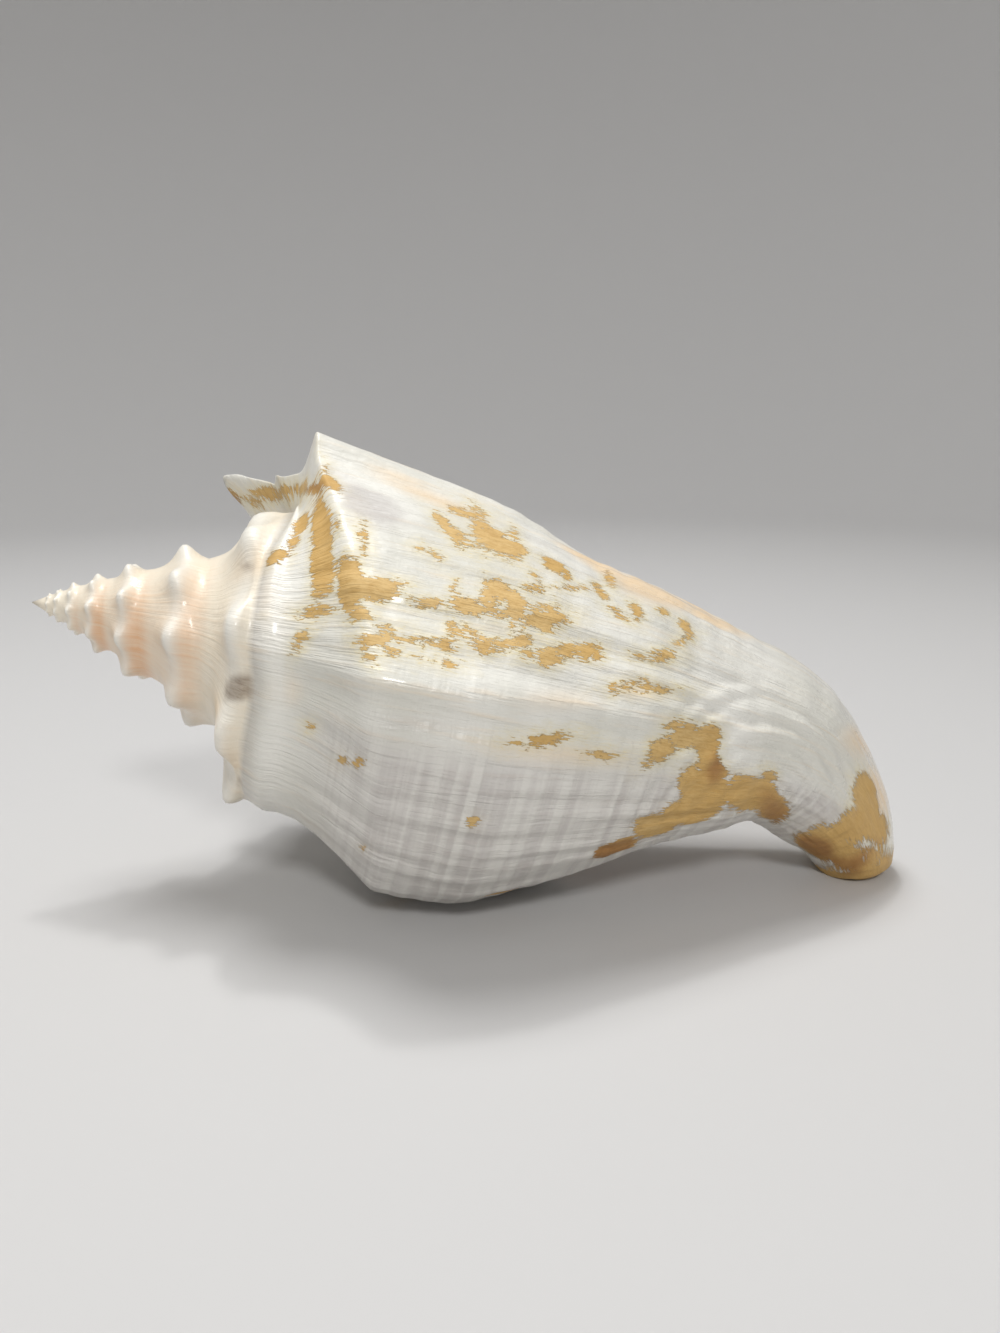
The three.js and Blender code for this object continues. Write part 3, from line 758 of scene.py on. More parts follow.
@dataclass
class Shell:
    """The shell: one closed surface of whorls, lip and hollow, with the values its finish reads."""

    axis: Axis = field(default_factory=Axis)
    growth: Growth = field(default_factory=Growth)
    relief: Relief = field(default_factory=Relief)
    markings: Markings = field(default_factory=Markings)
    columns: int = 384
    whorls: int = 7
    seam_rows: int = 14
    lip_rows: int = 140
    lip_end: float = 2.85
    tip_rows: tuple[float, ...] = (2.9, 2.94, 2.965, 2.985)
    edge_station: tuple[float, ...] = (0, 0.9, 1.15, 1.4, 1.65, 1.9, 2.12, 2.3, 2.5, 2.7, 2.85, 3)
    edge_angle: tuple[float, ...] = (198, 198, 190, 175, 162, 154, 151, 157, 166, 176, 198, 198)
    edge_draw: float = 0.6
    wall: float = 2.8
    wall_share: float = 0.45
    least_room: float = 0.4
    inner_edge: float = 0.55
    inner_fade: float = 50.0
    slope_span: float = 0.12
    hollow_turn: float = 205.0
    hollow_steps: int = 16
    hollow_retreat: float = 0.95
    hollow_retreat_turn: float = 130.0
    corner_sink: float = 1.4
    lip_steps: int = 6
    relief_radius: float = 12.0
    grain_radius: float = 40.0
    inside_from: float = 0.5
    points: list[np.ndarray] = field(default_factory=list)
    values: list[np.ndarray] = field(default_factory=list)
    quads: list[np.ndarray] = field(default_factory=list)
    count: int = 0

    @property
    def first(self) -> int:
        """Row where the last whorl starts."""
        return self.whorls * self.seam_rows

    @property
    def last_lip(self) -> int:
        """Row where the lip ends."""
        return self.first + self.lip_rows - 1

    def edge(self, station: np.ndarray) -> np.ndarray:
        """Growth angle of the lip's edge at a station: it draws back to a notch before the beak."""
        return curve(station, self.edge_station, self.edge_angle)

    def body_station(self, row: np.ndarray, part: np.ndarray) -> np.ndarray:
        """Station of a row of the last whorl, from its even rows at the start to the lip's rows.

        Args:
            row: row number, from the first row of the last whorl.
            part: share of the turn, 0 to 1.

        Returns:
            The station.
        """
        k = row - self.first
        seams = k / self.seam_rows
        below = 1.0 + (self.lip_end - 1.0) * (k - self.seam_rows) / (self.lip_rows - 1 - self.seam_rows)
        opened = np.where(k < self.seam_rows, seams, below)
        lip = self.lip_end * k / (self.lip_rows - 1)
        station = mix(opened, lip, smooth(part))
        tips = np.asarray(self.tip_rows)
        over = np.clip(row - self.last_lip - 1, 0, len(tips) - 1).astype(int)
        return np.where(row > self.last_lip, tips[over], station)

    def coordinates(self, row: np.ndarray, column: np.ndarray) -> tuple[np.ndarray, np.ndarray]:
        """Growth angle and station of grid places.

        Args:
            row: row numbers, apex to beak.
            column: column numbers, once round.

        Returns:
            Growth angle and station of each.
        """
        part = column / self.columns
        whorl = np.ceil((self.first - row) / self.seam_rows)
        early_station = (row - self.first + whorl * self.seam_rows) / self.seam_rows
        early_angle = self.growth.start + 360.0 * (part - whorl)
        late_station = self.body_station(row, part)
        share = smooth((part - self.edge_draw) / (1.0 - self.edge_draw))
        drawn = (self.growth.lip - self.edge(late_station)) * share
        late_angle = self.growth.start + 360.0 * part - drawn
        early = row < self.first
        return np.where(early, early_angle, late_angle), np.where(early, early_station, late_station)

    def add(self, angle: np.ndarray, station: np.ndarray, reach: np.ndarray, radius: np.ndarray,
            inner: Any, points: np.ndarray | None = None, down: Any = 0.0) -> np.ndarray:
        """Adds vertices and the values that go with them.

        Args:
            angle: growth angle, degrees.
            station: station, 0 to 3.
            reach: distance along the axis, mm.
            radius: distance from the axis, mm.
            inner: 0 outside, and in the hollow from inner_edge at the lip to 1 deep inside.
            points: the points themselves, where they aren't the plain place of reach, radius and angle.
            down: length of the surface from the whorl's seam down to the point, mm.

        Returns:
            The vertex numbers, in the shape of angle.
        """
        made = self.axis.place(reach, radius, angle) if points is None else points
        fields = np.stack(np.broadcast_arrays(angle, station, reach, radius, inner, down), axis=-1)
        numbers = self.count + np.arange(angle.size).reshape(angle.shape)
        self.points.append(made.reshape(-1, 3))
        self.values.append(fields.reshape(-1, 6))
        self.count += angle.size
        return numbers

    def outside(self) -> np.ndarray:
        """Grid of the outer surface.

        Rows run from the apex to the beak's tip and columns once round. The last column of a row is the
        first column of the row a turn later, and on the last whorl it is the lip itself.

        Returns:
            Vertex numbers by row and column, the tip as the last row.
        """
        rows = self.last_lip + len(self.tip_rows) + 1
        row, column = np.meshgrid(np.arange(rows), np.arange(self.columns + 1), indexing="ij")
        angle, station = self.coordinates(row.astype(float), column.astype(float))
        reach, radius = self.growth.profile(angle, station)
        down = self.lengths(self.axis.place(reach, radius, angle) / MM)
        raised = radius + self.relief.height(angle, station, reach) * smooth(radius / self.relief_radius)
        every, lip = slice(None, -1), slice(self.first + 1, self.last_lip)
        kept = self.add(angle[:, every], station[:, every], reach[:, every], raised[:, every], 0.0,
                        down=down[:, every])
        edge = self.add(angle[lip, -1], station[lip, -1], reach[lip, -1], raised[lip, -1], 0.0,
                        down=down[lip, -1])
        tip_reach, tip_radius = self.growth.profile(np.zeros(1), np.full(1, 3.0))
        tip = self.add(np.zeros(1), np.full(1, 3.0), tip_reach, tip_radius, 0.0)
        grid = np.empty((rows + 1, self.columns + 1), int)
        grid[:-1, :-1] = kept
        grid[-1] = tip[0]
        closing = np.arange(rows)
        grid[:-1, -1] = kept[closing, 0]
        grid[: self.first + 1, -1] = kept[closing[: self.first + 1] + self.seam_rows, 0]
        grid[lip, -1] = edge
        return grid

    def lengths(self, points: np.ndarray) -> np.ndarray:
        """Length of the surface from each whorl's seam down to each point: a running sum down the columns.

        Args:
            points: grid of points, mm.

        Returns:
            The lengths, mm.
        """
        steps = np.linalg.norm(np.diff(points, axis=0), axis=-1)
        total = np.vstack([np.zeros(points.shape[1]), np.cumsum(steps, axis=0)])
        row = np.arange(points.shape[0])
        seam = np.minimum(row // self.seam_rows * self.seam_rows, self.first)
        return total - total[seam]

    def pillar(self, reach: np.ndarray) -> np.ndarray:
        """Radius of the pillar round the axis, which is the last whorl's own first profile."""
        radii = [row[0] for row in self.growth.flank_radius[:8]]
        return curve(reach, [self.growth.seam_reach[-1], *self.growth.flank_reach[:8]],
                     [self.growth.seam_radius[-1], *radii])

    def hollow(self, grid: np.ndarray) -> np.ndarray:
        """Rings of the hollow behind the lip: along the inside of the wall, then back along the pillar.

        Each ring lies at one depth behind the lip, and the rings draw back from the beak with depth.

        Args:
            grid: vertex numbers of the outer surface.

        Returns:
            Vertex numbers by ring and place round it.
        """
        top = self.first + self.seam_rows + 1
        low = self.last_lip - 1
        depth = np.linspace(0.0, self.hollow_turn, self.hollow_steps + 1)[:, None]
        retreat = smooth(depth / self.hollow_retreat_turn)
        k = np.arange(1, self.lip_rows - 1)[None, :]
        station = (self.lip_end - self.hollow_retreat * retreat) * k / (self.lip_rows - 1)
        angle = self.edge(station) - depth
        reach, radius = self.growth.profile(angle, station)
        room = np.maximum(radius - self.pillar(reach), self.least_room)
        wall = np.minimum(self.wall, self.wall_share * room)
        reach_before, radius_before = self.growth.profile(angle, station - self.slope_span)
        reach_after, radius_after = self.growth.profile(angle, station + self.slope_span)
        run, rise = reach_after - reach_before, radius_after - radius_before
        length = np.hypot(run, rise) + 1e-9
        walls = self.add(angle, station, reach + wall * rise / length, radius - wall * run / length,
                         mix(self.inner_edge, 1.0, smooth(depth / self.inner_fade)))
        rows = np.arange(low, top - 1, -1)[None, :].astype(float)
        start = self.body_station(rows, np.zeros_like(rows))
        end = self.lip_end - self.hollow_retreat * retreat
        station = mix(1.0, end, (start - 1.0) / (self.lip_end - 1.0))
        angle = np.broadcast_to(self.growth.start - depth, station.shape)
        reach, radius = self.growth.profile(angle, station)
        sunk = self.corner_sink * smooth(depth / 12.0) * bell(station, 1.0, 0.15)
        back = self.add(angle[1:], station[1:], (reach + sunk)[1:], (radius - sunk)[1:], 1.0)
        pillars = np.vstack([grid[low:top - 1:-1, 0][None, :], back])
        return np.hstack([pillars[:, -1:], walls, pillars[:, :-1]])

    def lip_edge(self, grid: np.ndarray, ring: np.ndarray) -> None:
        """Rounded edge of the lip: half a circle from the outer surface to the inside of the wall.

        Args:
            grid: vertex numbers of the outer surface.
            ring: vertex numbers of the hollow's first ring.
        """
        points = np.concatenate(self.points)
        values = np.concatenate(self.values)
        outer = grid[self.first:self.last_lip + 1, -1]
        inner = ring[: self.lip_rows]
        a, b = points[outer[1:-1]], points[inner[1:-1]]
        neighbour = points[grid[self.first + 1:self.last_lip, -2]]
        forward = a - neighbour
        forward /= np.linalg.norm(forward, axis=-1, keepdims=True) + 1e-12
        t = np.arange(1, self.lip_steps)[:, None, None] / self.lip_steps
        half = np.linalg.norm(b - a, axis=-1, keepdims=True) / 2.0
        middle = mix(a, b, 0.5 - 0.5 * np.cos(np.pi * t)) + forward * half * 0.8 * np.sin(np.pi * t)
        fields = np.broadcast_to(values[outer[1:-1]], middle.shape[:2] + (6,))
        made = self.add(fields[..., 0], fields[..., 1], fields[..., 2], fields[..., 3], 0.0, middle,
                        fields[..., 5])
        ends = np.arange(1, self.lip_steps) * 2 < self.lip_steps
        first = np.where(ends, outer[0], inner[0])[:, None]
        last = np.where(ends, outer[-1], inner[-1])[:, None]
        strip = np.vstack([outer, np.hstack([first, made, last]), inner])
        self.patchwork(strip[:-1, :-1], strip[1:, :-1], strip[1:, 1:], strip[:-1, 1:])

    def patchwork(self, a: np.ndarray, b: np.ndarray, c: np.ndarray, d: np.ndarray) -> None:
        """Adds faces with the corners a, b, c and d."""
        self.quads.append(np.stack([a.ravel(), b.ravel(), c.ravel(), d.ravel()], axis=-1))

    def assemble(self) -> None:
        """Joins the outer grid, the hollow, the lip's edge and the closed ends into one surface."""
        grid = self.outside()
        self.patchwork(grid[:-1, :-1], grid[:-1, 1:], grid[1:, 1:], grid[1:, :-1])
        apex = self.add(np.full(1, -2682.0), np.zeros(1), np.zeros(1), np.zeros(1), 0.0)[0]
        start = np.full(self.columns, apex)
        self.patchwork(start, start, grid[0, 1:], grid[0, :-1])
        short = grid[: self.seam_rows + 1, 0]
        same = np.full(self.seam_rows, apex)
        self.patchwork(same, same, short[:-1], short[1:])
        rings = self.hollow(grid)
        following = np.roll(rings, -1, axis=1)
        self.patchwork(rings[:-1], rings[1:], following[1:], following[:-1])
        deepest = rings[-1]
        points = np.concatenate(self.points)[deepest].mean(axis=0, keepdims=True)
        fields = np.concatenate(self.values)[deepest].mean(axis=0)
        end = self.add(fields[:1], fields[1:2], fields[2:3], fields[3:4], 1.0, points)[0]
        closing = np.full(deepest.size, end)
        self.patchwork(closing, closing, np.roll(deepest, -1), deepest)
        self.lip_edge(grid, rings[0])

    def faces(self) -> list[list[int]]:
        """The faces as corner lists, with repeated corners dropped."""
        quads = np.concatenate(self.quads)
        same = quads == np.roll(quads, 1, axis=1)
        whole = quads[~same.any(axis=1)].tolist()
        thin = quads[same.sum(axis=1) == 1]
        keep = ~(thin == np.roll(thin, 1, axis=1))
        return whole + thin[keep].reshape(-1, 3).tolist()

    def sight(self, mesh: bpy.types.Mesh, values: np.ndarray, view: View) -> Sight:
        """The outer surface as the camera sees it.

        Args:
            mesh: the shell's mesh.
            values: growth angle, station, reach, radius, inner and length down of each vertex.
            view: the camera.

        Returns:
            The seen side.
        """
        points, normals = np.empty(len(values) * 3, np.float32), np.empty(len(values) * 3, np.float32)
        mesh.vertices.foreach_get("co", points)
        mesh.vertices.foreach_get("normal", normals)
        outer = values[:, 4] < self.inside_from
        return Sight(view, points.reshape(-1, 3)[outer] / MM, normals.reshape(-1, 3)[outer],
                     values[outer][:, [0, 5, 3]])

    def dressing(self, mesh: bpy.types.Mesh, values: np.ndarray, view: View) -> None:
        """Writes the values that the finish reads into the mesh.

        Args:
            mesh: the shell's mesh.
            values: growth angle, station, reach, radius, inner and length down of each vertex.
            view: the camera from which the marks were read.
        """
        angle, station, reach, radius, inner, down = values.T
        places = np.stack([angle, down, radius], axis=-1)
        sight = self.sight(mesh, values, view)
        marks = self.markings
        spire = smooth((-150.0 - angle) / 60.0)
        body = smooth((angle + 140.0) / 30.0)
        side = 0.5 + 0.5 * np.sin(np.radians(angle - 25.0))
        groove = np.clip(bell(station, 1.0, 0.26) + bell(station, 0.0, 0.14), 0.0, 1.0)
        # Painted shade: the lower facet, turned down from the lamps, is greyed.
        lower = smooth((angle - 84.0) / 12.0) * smooth((station - 0.15) / 0.45)
        beak = smooth((station - 1.6) / 0.4)
        upper = np.maximum(bell(angle, 45.0, 42.0), bell(angle, 75.0, 40.0) * beak)
        hilltop = (0.5 + 0.5 * self.growth.spire_knob(angle)) * bell(station, self.growth.knob_station, 0.15)
        peach = spire * side * side * (0.3 + 0.7 * groove)
        layers = {
            Field.SKIN: np.where(inner > self.inside_from, marks.least, marks.skin(sight, places, reach)),
            # Darker skin; along the bottom edge and at the notch it is painted shade.
            Field.BROWN: marks.near(marks.brown_skin_and_shade, sight, places, 3.0),
            Field.CREAM: marks.near(marks.cream, sight, places, 5.0),
            Field.FINE: (np.clip(radius / 30.0, 0.04, 1.0) * (1.0 - 0.45 * smooth((station - 2.1) / 0.4))
                         * (1.0 - 0.5 * spire)),
            Field.SPIRE: smooth((-120.0 - angle) / 80.0),
            Field.PEACH: peach * smooth((reach - 7.0) / 9.0) * smooth((43.0 - reach) / 8.0),
            # Painted shade: dark ovals in the spire's seams, and a thin painted shadow line along the last
            # whorl's seam.
            Field.SEAM_SHADE: np.maximum(marks.near(marks.seam_shade, sight, places, 1.8),
                                    0.45 * bell(station, 0.0, 0.04) * body),
            Field.INNER: inner,
            Field.SHINE: upper * smooth((station - 0.6) / 0.5),
            Field.CORDS: smooth((angle - 60.0) / 35.0) * smooth((station - 0.1) / 0.4),
            # Painted shade: grey on the lower facet and in the grey ovals.
            Field.LOWER: np.maximum(lower, marks.near(marks.painted_shade, sight, places, 4.0)),
            # The spire's white knob crests, and a painted highlight line just below the last whorl's seam.
            Field.WHITE: np.maximum(spire * hilltop, bell(station, 0.12, 0.06) * body),
        }
        turn = np.radians(angle)
        grown = np.stack([reach, self.grain_radius * np.cos(turn), self.grain_radius * np.sin(turn)], axis=-1)
        layer = mesh.attributes.new(Field.GROWN.value, "FLOAT_VECTOR", "POINT")
        layer.data.foreach_set("vector", np.ascontiguousarray(grown, np.float32).ravel())
        for name, data in layers.items():
            layer = mesh.attributes.new(name.value, "FLOAT", "POINT")
            layer.data.foreach_set("value", np.ascontiguousarray(data, np.float32))

    def build(self, view: View) -> bpy.types.Object:
        """Makes the shell's mesh object.

        Args:
            view: the camera from which the marks were read.

        Returns:
            The finished object, at the origin, flat where it rests.
        """
        self.assemble()
        points = np.concatenate(self.points)
        points[:, 2] = np.maximum(points[:, 2], 0.0)
        mesh = bpy.data.meshes.new("shell")
        mesh.from_pydata(points.tolist(), [], self.faces())
        mesh.polygons.foreach_set("use_smooth", np.ones(len(mesh.polygons), bool))
        mesh.update()
        self.dressing(mesh, np.concatenate(self.values), view)
        piece = bpy.data.objects.new("shell", mesh)
        bpy.context.scene.collection.objects.link(piece)
        return piece


@dataclass(frozen=True)
class Colour:
    """A colour as seen on a screen, 0 to 255."""

    red: float
    green: float
    blue: float

    def linear(self) -> tuple[float, float, float, float]:
        """The colour as light, for a shader."""
        def light(v: float) -> float:
            """One channel as light."""
            c = v / 255.0
            return c / 12.92 if c <= 0.04045 else ((c + 0.055) / 1.055) ** 2.4

        return light(self.red), light(self.green), light(self.blue), 1.0


@dataclass(frozen=True)
class Grain:
    """A cloudy noise: how many steps, how much finer detail, how rough and how warped.

    The scale is steps for each metre, or 1 where the stretch gives steps for each mm along and round.
    """

    scale: float
    detail: float
    rough: float = 0.55
    warp: float = 0.0
    stretch: tuple[float, float] | None = None


class Wire:
    """A socket of a shader's tree that can be used in Python sums."""

    def __init__(self, tree: "Tree", socket: bpy.types.NodeSocket) -> None:
        """Keeps the tree and the socket."""
        self.tree = tree
        self.socket = socket

    def __add__(self, other: Any) -> "Wire":
        """Sum."""
        return self.tree.sum("ADD", self, other)

    def __radd__(self, other: Any) -> "Wire":
        """Sum, with the number first."""
        return self.tree.sum("ADD", other, self)

    def __sub__(self, other: Any) -> "Wire":
        """Difference."""
        return self.tree.sum("SUBTRACT", self, other)

    def __rsub__(self, other: Any) -> "Wire":
        """Difference, with the number first."""
        return self.tree.sum("SUBTRACT", other, self)

    def __mul__(self, other: Any) -> "Wire":
        """Product."""
        return self.tree.sum("MULTIPLY", self, other)

    def __rmul__(self, other: Any) -> "Wire":
        """Product, with the number first."""
        return self.tree.sum("MULTIPLY", other, self)

    def clip(self) -> "Wire":
        """The value kept from 0 to 1."""
        return self.tree.sum("MINIMUM", self.tree.sum("MAXIMUM", self, 0.0), 1.0)

    def step(self, low: float, high: float) -> "Wire":
        """Smooth step from 0 at low to 1 at high."""
        made = self.tree.node("ShaderNodeMapRange", {"interpolation_type": "SMOOTHSTEP"},
                              {"Value": self, "From Min": low, "From Max": high})
        return Wire(self.tree, made.outputs["Result"])


class Tree:
    """The node tree of one material."""

    def __init__(self, name: str) -> None:
        """Makes an empty material with that name."""
        self.material = bpy.data.materials.new(name)
        self.material.use_nodes = True
        self.nodes = self.material.node_tree.nodes
        self.links = self.material.node_tree.links
        self.nodes.clear()

    def feed(self, socket: bpy.types.NodeSocket, value: Any) -> None:
        """Links a wire to a socket, or sets the socket to a plain value."""
        if isinstance(value, Wire):
            self.links.new(value.socket, socket)
        elif isinstance(value, Colour):
            socket.default_value = value.linear()
        else:
            socket.default_value = value

    def node(self, kind: str, settings: dict[str, Any] | None = None,
             inputs: dict[Any, Any] | None = None) -> bpy.types.Node:
        """Adds a node.

        Args:
            kind: Blender's name for the node.
            settings: its properties, set first.
            inputs: values or wires by socket name or number.

        Returns:
            The node.
        """
        made = self.nodes.new(kind)
        for name, value in (settings or {}).items():
            setattr(made, name, value)
        for name, value in (inputs or {}).items():
            self.feed(made.inputs[name], value)
        return made

    def sum(self, operation: str, a: Any, b: Any) -> Wire:
        """Result of a Math node."""
        made = self.node("ShaderNodeMath", {"operation": operation}, {0: a, 1: b})
        return Wire(self, made.outputs[0])

    def blend(self, factor: Any, a: Any, b: Any) -> Wire:
        """Mix of two colours."""
        made = self.node("ShaderNodeMix", {"data_type": "RGBA"}, {0: factor, 6: a, 7: b})
        return Wire(self, made.outputs[2])

    def value(self, name: Field) -> Wire:
        """A value that the mesh carries."""
        made = self.node("ShaderNodeAttribute", {"attribute_type": "GEOMETRY", "attribute_name": name.value})
        return Wire(self, made.outputs["Fac"])

    def place(self, stretch: tuple[float, float] | None) -> Wire:
        """The place that a noise reads.

        Args:
            stretch: steps of noise for each mm along the axis and for each mm round it, or None.

        Returns:
            The place in the shell's growth, so stretched, or with None the place on the object in metres.
        """
        if stretch is None:
            return Wire(self, self.node("ShaderNodeTexCoord").outputs["Object"])
        along, around = stretch
        source = self.node("ShaderNodeAttribute", {"attribute_type": "GEOMETRY",
                                                   "attribute_name": Field.GROWN.value})
        made = self.node("ShaderNodeVectorMath", {"operation": "MULTIPLY"},
                         {0: Wire(self, source.outputs["Vector"]), 1: (along, around, around)})
        return Wire(self, made.outputs[0])

    def noise(self, grain: Grain) -> Wire:
        """Cloudy noise, about 0.5 on average."""
        made = self.node("ShaderNodeTexNoise", {"noise_dimensions": "3D"},
                         {"Vector": self.place(grain.stretch), "Scale": grain.scale, "Detail": grain.detail,
                          "Roughness": grain.rough, "Distortion": grain.warp})
        return Wire(self, made.outputs["Fac"])

    def bump(self, height: Wire, distance: float) -> Wire:
        """Normal of a height field."""
        made = self.node("ShaderNodeBump", None, {"Height": height, "Distance": distance, "Strength": 1.0})
        return Wire(self, made.outputs[0])

    def surface(self, inputs: dict[Any, Any]) -> bpy.types.Material:
        """Ends the tree in one surface shader with these inputs.

        Args:
            inputs: values or wires of the surface shader.

        Returns:
            The material.
        """
        shader = self.node("ShaderNodeBsdfPrincipled", None, inputs)
        out = self.node("ShaderNodeOutputMaterial")
        self.links.new(shader.outputs[0], out.inputs[0])
        return self.material


@dataclass(frozen=True)
class ShellFinish:
    """Chalky white shell with a soft shine, flaking tan skin, peach grooves and a pink hollow; some shade and
    highlights are painted in.

    Growth, lines, bands, torn and fibres are drawn out round the shell or along it. Torn and fibre
    reach are how far noise moves the edge of the skin, in mm.
    """

    white: Colour = Colour(220, 218, 208)
    # Also the painted highlights along the cords and the seam.
    bright: Colour = Colour(236, 234, 226)
    # Grey of painted shade, for faces turned from the light.
    painted_shade: Colour = Colour(196, 190, 186)
    ivory: Colour = Colour(238, 227, 206)
    cream: Colour = Colour(240, 215, 180)
    stain: Colour = Colour(228, 214, 172)
    peach: Colour = Colour(230, 184, 142)
    skin: Colour = Colour(215, 182, 122)
    skin_dark: Colour = Colour(196, 159, 96)
    skin_deep: Colour = Colour(204, 161, 87)
    # Darker skin, and painted shade along the bottom edge.
    brown_skin_and_shade: Colour = Colour(150, 100, 52)
    # Dark of the painted shade in the seams.
    seam_shade: Colour = Colour(112, 86, 62)
    pink: Colour = Colour(246, 208, 188)
    blotch: Grain = Grain(36.0, 2.0)
    cloud: Grain = Grain(140.0, 3.0, 0.65)
    grain: Grain = Grain(620.0, 2.0, 0.6)
    growth: Grain = Grain(1.0, 3.0, 0.62, 0.2, (0.05, 0.55))
    lines: Grain = Grain(1.0, 2.0, 0.6, 0.0, (0.12, 2.6))
    bands: Grain = Grain(1.0, 2.0, 0.5, 0.0, (0.5, 0.012))
    torn: Grain = Grain(1.0, 5.0, 0.74, 0.5, (0.3, 0.8))
    fibres: Grain = Grain(1.0, 2.0, 0.65, 0.0, (0.5, 3.2))
    torn_reach: float = 4.6
    fibre_reach: float = 3.0
    relief: float = 0.001
    index: float = 1.53
    coat_roughness: float = 0.12

    def make(self) -> bpy.types.Material:
        """Builds the material.

        Returns:
            The shell's one material.
        """
        t = Tree("shell_surface")
        inner, lower, shine = t.value(Field.INNER), t.value(Field.LOWER), t.value(Field.SHINE)
        blotch, cloud, grain = t.noise(self.blotch), t.noise(self.cloud), t.noise(self.grain)
        growth, lines = t.noise(self.growth), t.noise(self.lines)
        torn, fibres = t.noise(self.torn), t.noise(self.fibres)
        cords = t.noise(self.bands).step(0.32, 0.68) * t.value(Field.CORDS)

        # The skin that is left, and the stain that it left round itself.
        skin = t.value(Field.SKIN) + (torn - 0.5) * self.torn_reach + (fibres - 0.5) * self.fibre_reach
        left = skin.step(-0.08, 0.10)
        ghost = skin.step(-3.2, 0.2) * (0.1 + cloud * 0.6)
        ghost = ghost + skin.step(-0.9, 0.0) * fibres.step(0.4, 0.6) * 0.5

        # Colour of the bare shell, with painted shade on the lower facet and painted highlights along its
        # cords and the seam.
        colour = t.blend(blotch.step(0.38, 0.66), self.white, self.bright)
        colour = t.blend(t.value(Field.SPIRE) * (0.55 + cloud * 0.6), colour, self.ivory)
        colour = t.blend(growth.step(0.5, 0.78) * 0.35, colour, self.cream)
        colour = t.blend(ghost.clip(), colour, self.stain)
        # Painted shade: the lower facet and the grey ovals greyed.
        colour = t.blend((lower * (0.45 + growth * 0.6)).clip(), colour, self.painted_shade)
        # Painted highlight: lighter lines along the cords of the lower facet stand in for their lit crests.
        colour = t.blend(cords * lower * 0.6, colour, self.bright)
        colour = t.blend((t.value(Field.CREAM) * (0.55 + torn * 0.8)).clip(), colour, self.cream)
        colour = t.blend((t.value(Field.PEACH) * (0.3 + growth * 1.2)).clip(), colour, self.peach)
        # White crests of the spire, and the painted highlight along the seam.
        colour = t.blend(t.value(Field.WHITE) * 0.85, colour, self.bright)

        # Colour of the skin, part of its brown being painted shade, then what lies over both: painted shade
        # in the seams, and the pink hollow.
        tan = t.blend((torn * 0.6 + fibres * 0.4).step(0.38, 0.62), self.skin_dark, self.skin)
        tan = t.blend(blotch.step(0.42, 0.62) * 0.5, tan, self.skin_deep)
        # Darker skin, and painted shade along the bottom edge and at the notch.
        tan = t.blend((t.value(Field.BROWN) * (0.4 + cloud)).clip() * 0.8, tan, self.brown_skin_and_shade)
        colour = t.blend(left, colour, tan)
        # Painted shade in the seams.
        colour = t.blend((t.value(Field.SEAM_SHADE) * (0.2 + torn * 1.2)).clip() * 0.75, colour, self.seam_shade)
        colour = t.blend(inner, colour, self.pink)

        # Fine relief and gloss.
        fine = (growth * 0.6 + lines * (0.02 + cloud * 0.2)) * t.value(Field.FINE)
        height = fine + cords * 0.16 + grain * (0.05 + shine * 0.12) + cloud * 0.3 + left * 0.14
        rough = 0.44 - shine * 0.16 + left * 0.3 - inner * 0.24 + (cloud - 0.5) * 0.35
        return t.surface({
            "Base Color": colour,
            "Roughness": rough.clip(),
            "Normal": t.bump(height, self.relief),
            "IOR": self.index,
            "Coat Weight": (0.2 + shine * 0.7 - left * 0.7 + inner * 0.5).clip(),
            "Coat Roughness": self.coat_roughness,
        })


@dataclass(frozen=True)
class FloorFinish:
    """Plain pale floor."""

    tone: Colour = Colour(203, 202, 201)
    roughness: float = 0.85

    def make(self) -> bpy.types.Material:
        """Builds the material."""
        return Tree("pale_floor").surface({"Base Color": self.tone, "Roughness": self.roughness})


@dataclass(frozen=True)
class Lamp:
    """A soft lamp: where it hangs, what it points at, its size and its power."""

    name: str
    at: tuple[float, float, float]
    aim: tuple[float, float, float]
    size: float
    power: float


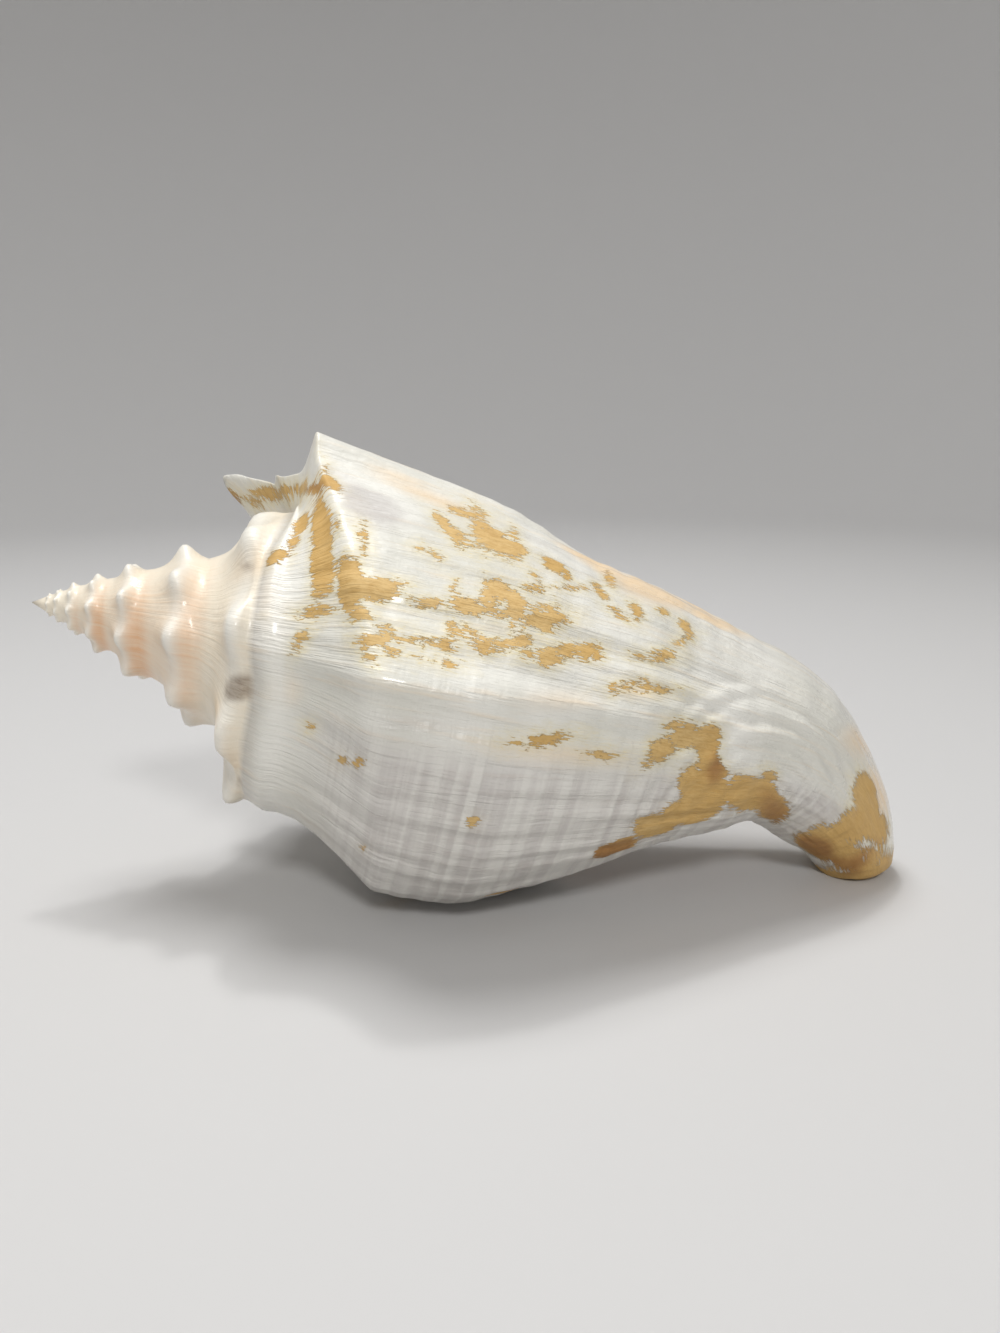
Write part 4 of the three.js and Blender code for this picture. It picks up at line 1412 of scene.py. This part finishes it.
@dataclass
class Studio:
    """Floor that sweeps up into a round backdrop, soft lamps, and the camera."""

    flat: float = 0.75
    sweep: float = 0.5
    high: float = 2.0
    view: View = View()
    clip: float = 0.005
    world: float = 0.46
    lamps: tuple[Lamp, ...] = (
        Lamp("lamp_top", (-0.15, 0.10, 0.95), (0.0, 0.0, 0.03), 0.4, 4.9),
        Lamp("lamp_glint", (-0.05, 0.18, 0.9), (0.0, 0.0, 0.05), 0.07, 1.3),
        Lamp("lamp_front", (0.05, -0.75, 0.7), (0.0, 0.0, 0.04), 0.16, 3.3),
    )

    def backdrop(self) -> bpy.types.Object:
        """Floor as a surface of revolution: a flat disc, a quarter circle, and a wall.

        Returns:
            The floor object.
        """
        turn = np.linspace(0.0, np.pi / 2.0, 17)
        bend = self.flat + self.sweep * np.sin(turn)
        radius = np.concatenate([[0.0, self.flat / 2.0], bend, [self.flat + self.sweep]])
        height = np.concatenate([[0.0, 0.0], self.sweep * (1.0 - np.cos(turn)), [self.high]])
        around = np.linspace(0.0, 2.0 * np.pi, 97)[:-1]
        x = radius[:, None] * np.cos(around)
        y = radius[:, None] * np.sin(around)
        z = np.broadcast_to(height[:, None], x.shape)
        points = np.stack([x, y, z], axis=-1).reshape(-1, 3)
        index = np.arange(x.size).reshape(x.shape)
        a, b = index[:-1], np.roll(index, -1, axis=1)[:-1]
        c, d = np.roll(index, -1, axis=1)[1:], index[1:]
        quads = np.stack([a, d, c, b], axis=-1).reshape(-1, 4)[len(around):]
        centre = np.stack([a[0], d[0], c[0]], axis=-1)
        points[index[0]] = 0.0
        mesh = bpy.data.meshes.new("floor")
        mesh.from_pydata(points.tolist(), [], quads.tolist() + centre.tolist())
        mesh.polygons.foreach_set("use_smooth", np.ones(len(mesh.polygons), bool))
        mesh.materials.append(FloorFinish().make())
        floor = bpy.data.objects.new("floor", mesh)
        bpy.context.scene.collection.objects.link(floor)
        return floor

    def light(self) -> None:
        """Hangs the lamps and sets the even light of the room."""
        for lamp in self.lamps:
            data = bpy.data.lights.new(lamp.name, "AREA")
            data.shape = "DISK"
            data.size = lamp.size
            data.energy = lamp.power
            made = bpy.data.objects.new(lamp.name, data)
            made.location = lamp.at
            made.rotation_mode = "QUATERNION"
            aim = Vector(lamp.aim) - Vector(lamp.at)
            made.rotation_quaternion = aim.to_track_quat("-Z", "Y")
            bpy.context.scene.collection.objects.link(made)
        world = bpy.data.worlds.new("room")
        world.use_nodes = True
        back = world.node_tree.nodes["Background"]
        back.inputs[0].default_value = (1.0, 1.0, 1.0, 1.0)
        back.inputs[1].default_value = self.world
        bpy.context.scene.world = world

    def camera(self) -> None:
        """Sets the camera at the photograph's viewing angle."""
        data = bpy.data.cameras.new("camera")
        data.lens = self.view.lens
        data.sensor_width = self.view.sensor
        data.clip_start = self.clip
        made = bpy.data.objects.new("camera", data)
        made.location = self.view.at
        made.rotation_euler = self.view.turn
        bpy.context.scene.collection.objects.link(made)
        bpy.context.scene.camera = made


def main() -> None:
    """Loads the frame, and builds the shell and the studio."""
    logging.basicConfig(level=logging.INFO, format="%(name)s: %(message)s")
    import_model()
    studio = Studio()
    shell = Shell().build(studio.view)
    shell.data.materials.append(ShellFinish().make())
    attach(shell, "root")
    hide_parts("conch_shell")
    LOG.info("shell: %d vertices, %d faces", len(shell.data.vertices), len(shell.data.polygons))
    bpy.context.scene.view_settings.view_transform = "Standard"
    studio.backdrop()
    studio.light()
    studio.camera()
    LOG.info("studio: floor, %d lamps and the camera", len(studio.lamps))


if __name__ == "__main__":
    main()
